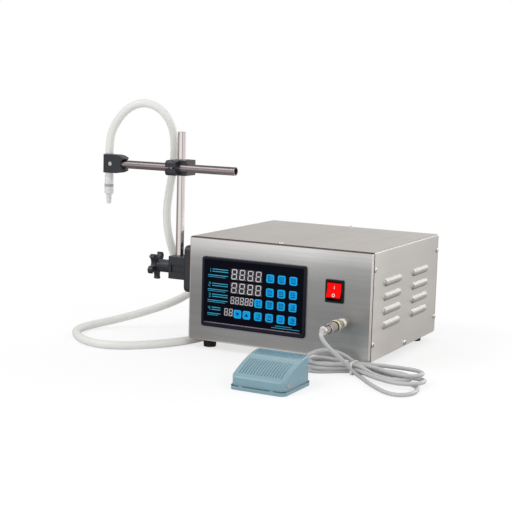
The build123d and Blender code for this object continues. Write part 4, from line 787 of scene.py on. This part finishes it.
def add_floor():
    """Pale floor; in mirrors it darkens towards the object and carries the studio's bands."""
    corners = [(x * FLOOR_HALF, y * FLOOR_HALF, 0) for x, y in ((-1, -1), (1, -1), (1, 1), (-1, 1))]
    floor = mesh_object("floor", corners, [(0, 1, 2, 3)])
    mat = material("floor", (0.93, 0.93, 0.93), roughness=0.9, Specular_IOR_Level=0.0)
    tree, bsdf = shader(mat)
    camera, mirror = see_through_rays(tree)
    place = tree.nodes.new("ShaderNodeNewGeometry").outputs["Position"]
    far = node(tree, "ShaderNodeVectorMath", i0=place)
    far.operation = "LENGTH"
    distance = far.outputs["Value"]
    near = ramp(tree, between(tree, distance, 0.15, 1.6),
                ((0.0, 0.42), (0.12, 0.50), (0.45, 0.80), (1.0, 0.98)))
    glow = node(tree, "ShaderNodeEmission", Color=times(tree, 1.0, bands(tree, place), near))
    white = node(tree, "ShaderNodeEmission", Color=(1.0, 1.0, 1.0, 1.0))
    fade = between(tree, distance, 0.35, 0.9)
    open_floor = math_node(tree, "MAXIMUM", fade, FLOOR_SHARE)
    seen = node(tree, "ShaderNodeMixShader", i0=math_node(tree, "MULTIPLY", open_floor, camera),
                i1=bsdf.outputs[0], i2=white.outputs[0])
    both = node(tree, "ShaderNodeMixShader", i0=mirror, i1=seen.outputs[0], i2=glow.outputs[0])
    tree.links.new(both.outputs[0], tree.nodes["Material Output"].inputs["Surface"])
    floor.data.materials.append(mat)


def add_lamp(name, place, target, size, power):
    data = bpy.data.lights.new(name, "AREA")
    data.size = size
    data.energy = power
    lamp = bpy.data.objects.new(name, data)
    bpy.context.scene.collection.objects.link(lamp)
    lamp.location = place
    lamp.rotation_euler = (Vector(target) - Vector(place)).to_track_quat("-Z", "Y").to_euler()


add_camera()
add_world()
add_floor()
add_lamp("key_light", (-1.3, -1.9, 2.4), (0, -0.1, 0.1), 1.4, 26.0)
add_lamp("fill_light", (2.4, -0.6, 1.5), (0, 0, 0.1), 1.6, 10.0)
add_lamp("rear_light", (1.1, 2.0, 1.0), (0.14, 0, 0.1), 1.2, 16.0)
bpy.context.scene.view_settings.view_transform = "Standard"


# Hoses

def stretches(points, lengths):
    """The points cut into stretches: the last ones have these lengths, the first the rest."""
    cuts = [len(points) - 1]
    for length in reversed(lengths):
        n = cuts[0]
        while path_length(points[n:cuts[0] + 1]) < length * MM:
            n -= 1
        cuts.insert(0, n)
    cuts.insert(0, 0)
    return [points[a:b + 1] for a, b in zip(cuts, cuts[1:])]


def outlet_hose():
    """The outlet hose, cut into four stretches for the four joints that it bends over."""
    route = line_points(OUTLET_ROUTE)
    rings = frames_along(route)
    parts = stretches(route, STRETCHES)
    first = 0
    for n, points in enumerate(parts):
        last = n == len(parts) - 1
        piece = tube(f"outlet_hose_{n + 1}", points, HOSE_R * MM, 32, bore=HOSE_BORE_R * MM,
                     rims=(n == 0, last), rings=rings[first:first + len(points)])
        first += len(points) - 1
        paint(piece, "hose")
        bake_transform(piece)
        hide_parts("outlet_hose")


def return_spring():
    """The pedal's spring, a coil of wire between tray and treadle."""
    count = SPRING_STEPS * SPRING_TURNS
    points = []
    for n in range(count + 1):
        a = 2 * math.pi * n / SPRING_STEPS
        points.append(at(SPRING_X + SPRING_R * math.cos(a), SPRING_Y + SPRING_R * math.sin(a),
                         SPRING_LOW + (SPRING_HIGH - SPRING_LOW) * n / count))
    piece = tube("return_spring", points, SPRING_WIRE_R * MM, 10)
    paint(piece, "screw")
    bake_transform(piece)
    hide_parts("pedal_spring")


def inlet_hose():
    points = line_points(INLET_ROUTE)
    piece = tube("inlet_hose_tube", points, HOSE_R * MM, 32, bore=HOSE_BORE_R * MM)
    dress(piece, "hose", "case")
    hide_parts("inlet_hose")


def pedal_cord():
    points = line_points(CORD_ROUTE, CORD_STEP)
    piece = tube("pedal_cord", points, CORD_R * MM, 20)
    dress(piece, "cord", "case")
    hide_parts("cord_lead", "cord_hank", "cord_tail")
    radii = [(SLEEVE_R + SLEEVE_FLARE * n / SLEEVE_STEPS) * MM for n in range(SLEEVE_STEPS + 1)]
    sleeve = tube("gland_sleeve", points[-len(radii):], radii, 20)
    dress(sleeve, "black", "case")


def head_collar():
    """Collar in the head's forked mouth, round the arm."""
    steps = range(COLLAR_LEN + 1)
    points = [at(HOSE_X + COLLAR_OFF + n, ARM_Y, ARM_Z) for n in steps]
    radii = [(COLLAR_R - COLLAR_TAPER * n) * MM for n in steps]
    collar = tube("head_collar", points, radii, 40, bore=COLLAR_BORE_R * MM)
    dress(collar, "black", "head")


outlet_hose()
inlet_hose()
pedal_cord()
head_collar()
return_spring()


# Art on the panel: plain numbers, bars and arrows instead of the photograph's words

SEGMENTS = {
    "0": "abcdef", "1": "bc", "2": "abged", "3": "abgcd", "4": "fgbc", "5": "afgcd",
    "6": "afgedc", "7": "abc", "8": "abcdefg", "9": "abcdfg",
}


def segment_bars(digit, w, h, t):
    """Bars of a seven-segment digit about its middle: (x, z, width, height)."""
    gap = 0.12 * t
    up = h / 4
    tall = h / 2 - t / 2 - 2 * gap
    wide = w - t - 2 * gap
    bars = {
        "a": (0, h / 2 - t / 2, wide, t), "g": (0, 0, wide, t), "d": (0, t / 2 - h / 2, wide, t),
        "f": (t / 2 - w / 2, up, t, tall), "b": (w / 2 - t / 2, up, t, tall),
        "e": (t / 2 - w / 2, -up, t, tall), "c": (w / 2 - t / 2, -up, t, tall),
    }
    return [bars[s] for s in SEGMENTS[digit]]


class Art:
    """Thin shapes a hair in front of a flat face, or of a piece that looks to the front."""

    def __init__(self, y=None, piece=None):
        self.y = y
        self.piece = piece
        self.verts = []
        self.faces = []

    def place(self, x, z):
        """Point in front of the face, found by a ray where the face is a piece's."""
        if self.piece is None:
            return at(x, self.y, z)
        _, spot, _, _ = self.piece.ray_cast(at(x, RAY_FROM, z), Vector((0, 1, 0)))
        return Vector((x * MM, spot.y - ART_LIFT * MM, z * MM))

    def shape(self, points):
        first = len(self.verts)
        self.verts += [self.place(x, z) for x, z in points]
        self.faces.append(tuple(range(first, first + len(points))))

    def bar(self, x, z, w, h, slant=0.0, middle=0.0):
        """Bar with pointed ends along its longer side, as in a lit segment."""
        cut = min(w, h) / 2
        if w > h:
            ring = ((-w / 2, 0), (cut - w / 2, -h / 2), (w / 2 - cut, -h / 2), (w / 2, 0),
                    (w / 2 - cut, h / 2), (cut - w / 2, h / 2))
        else:
            ring = ((0, -h / 2), (w / 2, cut - h / 2), (w / 2, h / 2 - cut), (0, h / 2),
                    (-w / 2, h / 2 - cut), (-w / 2, cut - h / 2))
        self.shape([(x + a + slant * (z + b - middle), z + b) for a, b in ring])

    def digit(self, digit, x, z, w, h, t, slant=0.0):
        for bx, bz, bw, bh in segment_bars(digit, w, h, t):
            self.bar(x + bx, z + bz, bw, bh, slant, z)

    def number(self, text, x, z, w, h, t, step):
        for n, digit in enumerate(text):
            self.digit(digit, x + (n - (len(text) - 1) / 2) * step, z, w, h, t)

    def dot(self, x, z, r):
        self.shape([(x + r * math.cos(a), z + r * math.sin(a))
                    for a in [math.pi * k / 6 for k in range(12)]])

    @staticmethod
    def rounded(x, z, w, h, r):
        """Outline points of a rounded rectangle."""
        out = []
        for cx, cz, start in ((w / 2 - r, r - h / 2, -90), (w / 2 - r, h / 2 - r, 0),
                              (r - w / 2, h / 2 - r, 90), (r - w / 2, r - h / 2, 180)):
            for k in range(5):
                a = math.radians(start + 22.5 * k)
                out.append((x + cx + r * math.cos(a), z + cz + r * math.sin(a)))
        return out

    def ring(self, x, z, w, h, r, t):
        """Frame of width t inside a rounded rectangle."""
        outer = self.rounded(x, z, w, h, r)
        inner = self.rounded(x, z, w - 2 * t, h - 2 * t, max(0.2, r - t))
        first = len(self.verts)
        self.verts += [self.place(a, b) for a, b in outer + inner]
        count = len(outer)
        for k in range(count):
            n = (k + 1) % count
            self.faces.append((first + k, first + n, first + count + n, first + count + k))

    def finish(self, name, look, body):
        art = mesh_object(name, self.verts, self.faces, smooth=False)
        dress(art, look, body)


# Rows of digits: height, columns, and a digit's width, height and stroke
DIGIT_FACE = PANEL_FACE + 0.6 - ART_LIFT
DIGIT_ROWS = (
    (114.3, (-67.6, -54.9, -41.9, -29.1), 8.5, 14.7, 1.3),
    (94.7, (-67.6, -54.9, -41.9, -29.1), 8.5, 14.7, 1.3),
    (76.8, (-69.8, -62.2, -54.5, -46.8, -39.4), 5.5, 10.4, 0.9),
    (59.0, (-79.6, -71.8), 5.5, 10.4, 0.9),
)
DIGIT_SLANT = 0.08
DOT_R = 0.4
# Labels left of them: height and width of each row, and its bars as their middle's place from
# the row's, what their length adds to the row's width, and their height
LABEL_LEFT = -110
LABEL_ROWS = ((114.3, 33), (93.8, 33), (78.0, 33), (59.0, 22))
LABEL_BARS = ((3.5, 4.6, -7, 1.3), (3.5, 1.4, -7, 1.3), (0, -4.2, 0, 1.2), (-2, -6.6, -4, 0.8))
FOOT_BARS = ((12, 48.0, 26), (15, 45.2, 44))     # place and length
FOOT_BAR_H = 0.9
KEY_RIM = (11.6, 11.6, 2.3, 1.1)                 # width, height, corner, breadth of the rim
ARROW_HALF, ARROW_BASE, ARROW_TIP = 2.8, 2.0, 2.6
MARK_HALF = 0.35                                 # of the rocker's I
MARK_LOW, MARK_STEP, MARK_STEPS = 3.2, 1.1, 4
ROCKER_O = (4.4, 4.4, 2.2, 0.7)
ROCKER_O_DROP = 5.0


def panel_digits():
    """Unlit eights behind the windows."""
    art = Art(DIGIT_FACE)
    for z, columns, w, h, t in DIGIT_ROWS:
        for x in columns:
            art.digit("8", x, z, w, h, t, slant=DIGIT_SLANT)
            art.dot(x + w / 2 + 0.9, z - h / 2 + 0.5, DOT_R)
    art.finish("digits", "digit", "case")


def panel_labels():
    """A number and bars by each row of digits, as the photograph has words there."""
    art = Art(PANEL_FACE - ART_LIFT)
    for n, (z, wide) in enumerate(LABEL_ROWS):
        middle = LABEL_LEFT + wide / 2
        art.number(str(n + 1), LABEL_LEFT + 3, z + 2.8, 3.6, 6.4, 0.9, 5.0)
        for right, up, more, high in LABEL_BARS:
            art.bar(middle + right, z + up, wide + more, high)
    for x, z, wide in FOOT_BARS:
        art.bar(x, z, wide, FOOT_BAR_H)
    art.finish("panel_labels", "label", "case")


def key_marks():
    """Rims and dark marks on the keys, which ride on their keys."""
    places = [(x, z) for z in KEY_ROWS[:2] for x in KEY_COLUMNS[1:]]
    places += [(x, KEY_ROWS[2]) for x in KEY_COLUMNS]
    places += [(x, KEY_ROWS[3]) for x in ARROW_COLUMNS + KEY_COLUMNS]
    for n, (x, z) in enumerate(places, start=1):
        body = f"key_{n:02d}_cap"
        rim = Art(KEY_FACE - ART_LIFT)
        rim.ring(x, z, *KEY_RIM)
        rim.finish(f"key_rim_{n:02d}", "key_rim", body)
        mark = Art(KEY_FACE - ART_LIFT)
        if (x, z) == (ARROW_COLUMNS[0], KEY_ROWS[3]):
            mark.shape([(x - ARROW_HALF, z + ARROW_BASE), (x, z - ARROW_TIP),
                        (x + ARROW_HALF, z + ARROW_BASE)])
        elif (x, z) == (ARROW_COLUMNS[1], KEY_ROWS[3]):
            mark.shape([(x - ARROW_HALF, z - ARROW_BASE), (x + ARROW_HALF, z - ARROW_BASE),
                        (x, z + ARROW_TIP)])
        else:
            mark.number(f"{n:02d}", x, z + 1.4, 2.8, 4.8, 0.85, 3.9)
            mark.bar(x, z - 3.1, 7.2, 1.1)
        mark.finish(f"key_mark_{n:02d}", "mark", body)


def rocker_marks():
    """I above, O below, on the rocker's two faces. The I has steps, as its face is curved."""
    marks = Art(piece=NODES["rocker_button"])
    left, right = ROCKER_X - MARK_HALF, ROCKER_X + MARK_HALF
    for step in range(MARK_STEPS):
        low = ROCKER_Z + MARK_LOW + MARK_STEP * step
        high = low + MARK_STEP
        marks.shape([(left, low), (right, low), (right, high), (left, high)])
    marks.ring(ROCKER_X, ROCKER_Z - ROCKER_O_DROP, *ROCKER_O)
    marks.finish("rocker_marks", "white", "rocker")


def overlay_reflection_bead():
    """Painted reflection: a rounded purple-grey bead along the foot of the overlay, between it and
    the bezel, where the bezel's lower edge shines.
    """
    points = [at(BEAD_LEFT + (BEAD_RIGHT - BEAD_LEFT) * n / BEAD_STEPS, PANEL_FACE - 0.1, BEAD_Z)
              for n in range(BEAD_STEPS + 1)]
    bead = tube("overlay_reflection_bead", points, BEAD_R * MM, 12)
    dress(bead, "strip", "case")


panel_digits()
panel_labels()
key_marks()
rocker_marks()
overlay_reflection_bead()
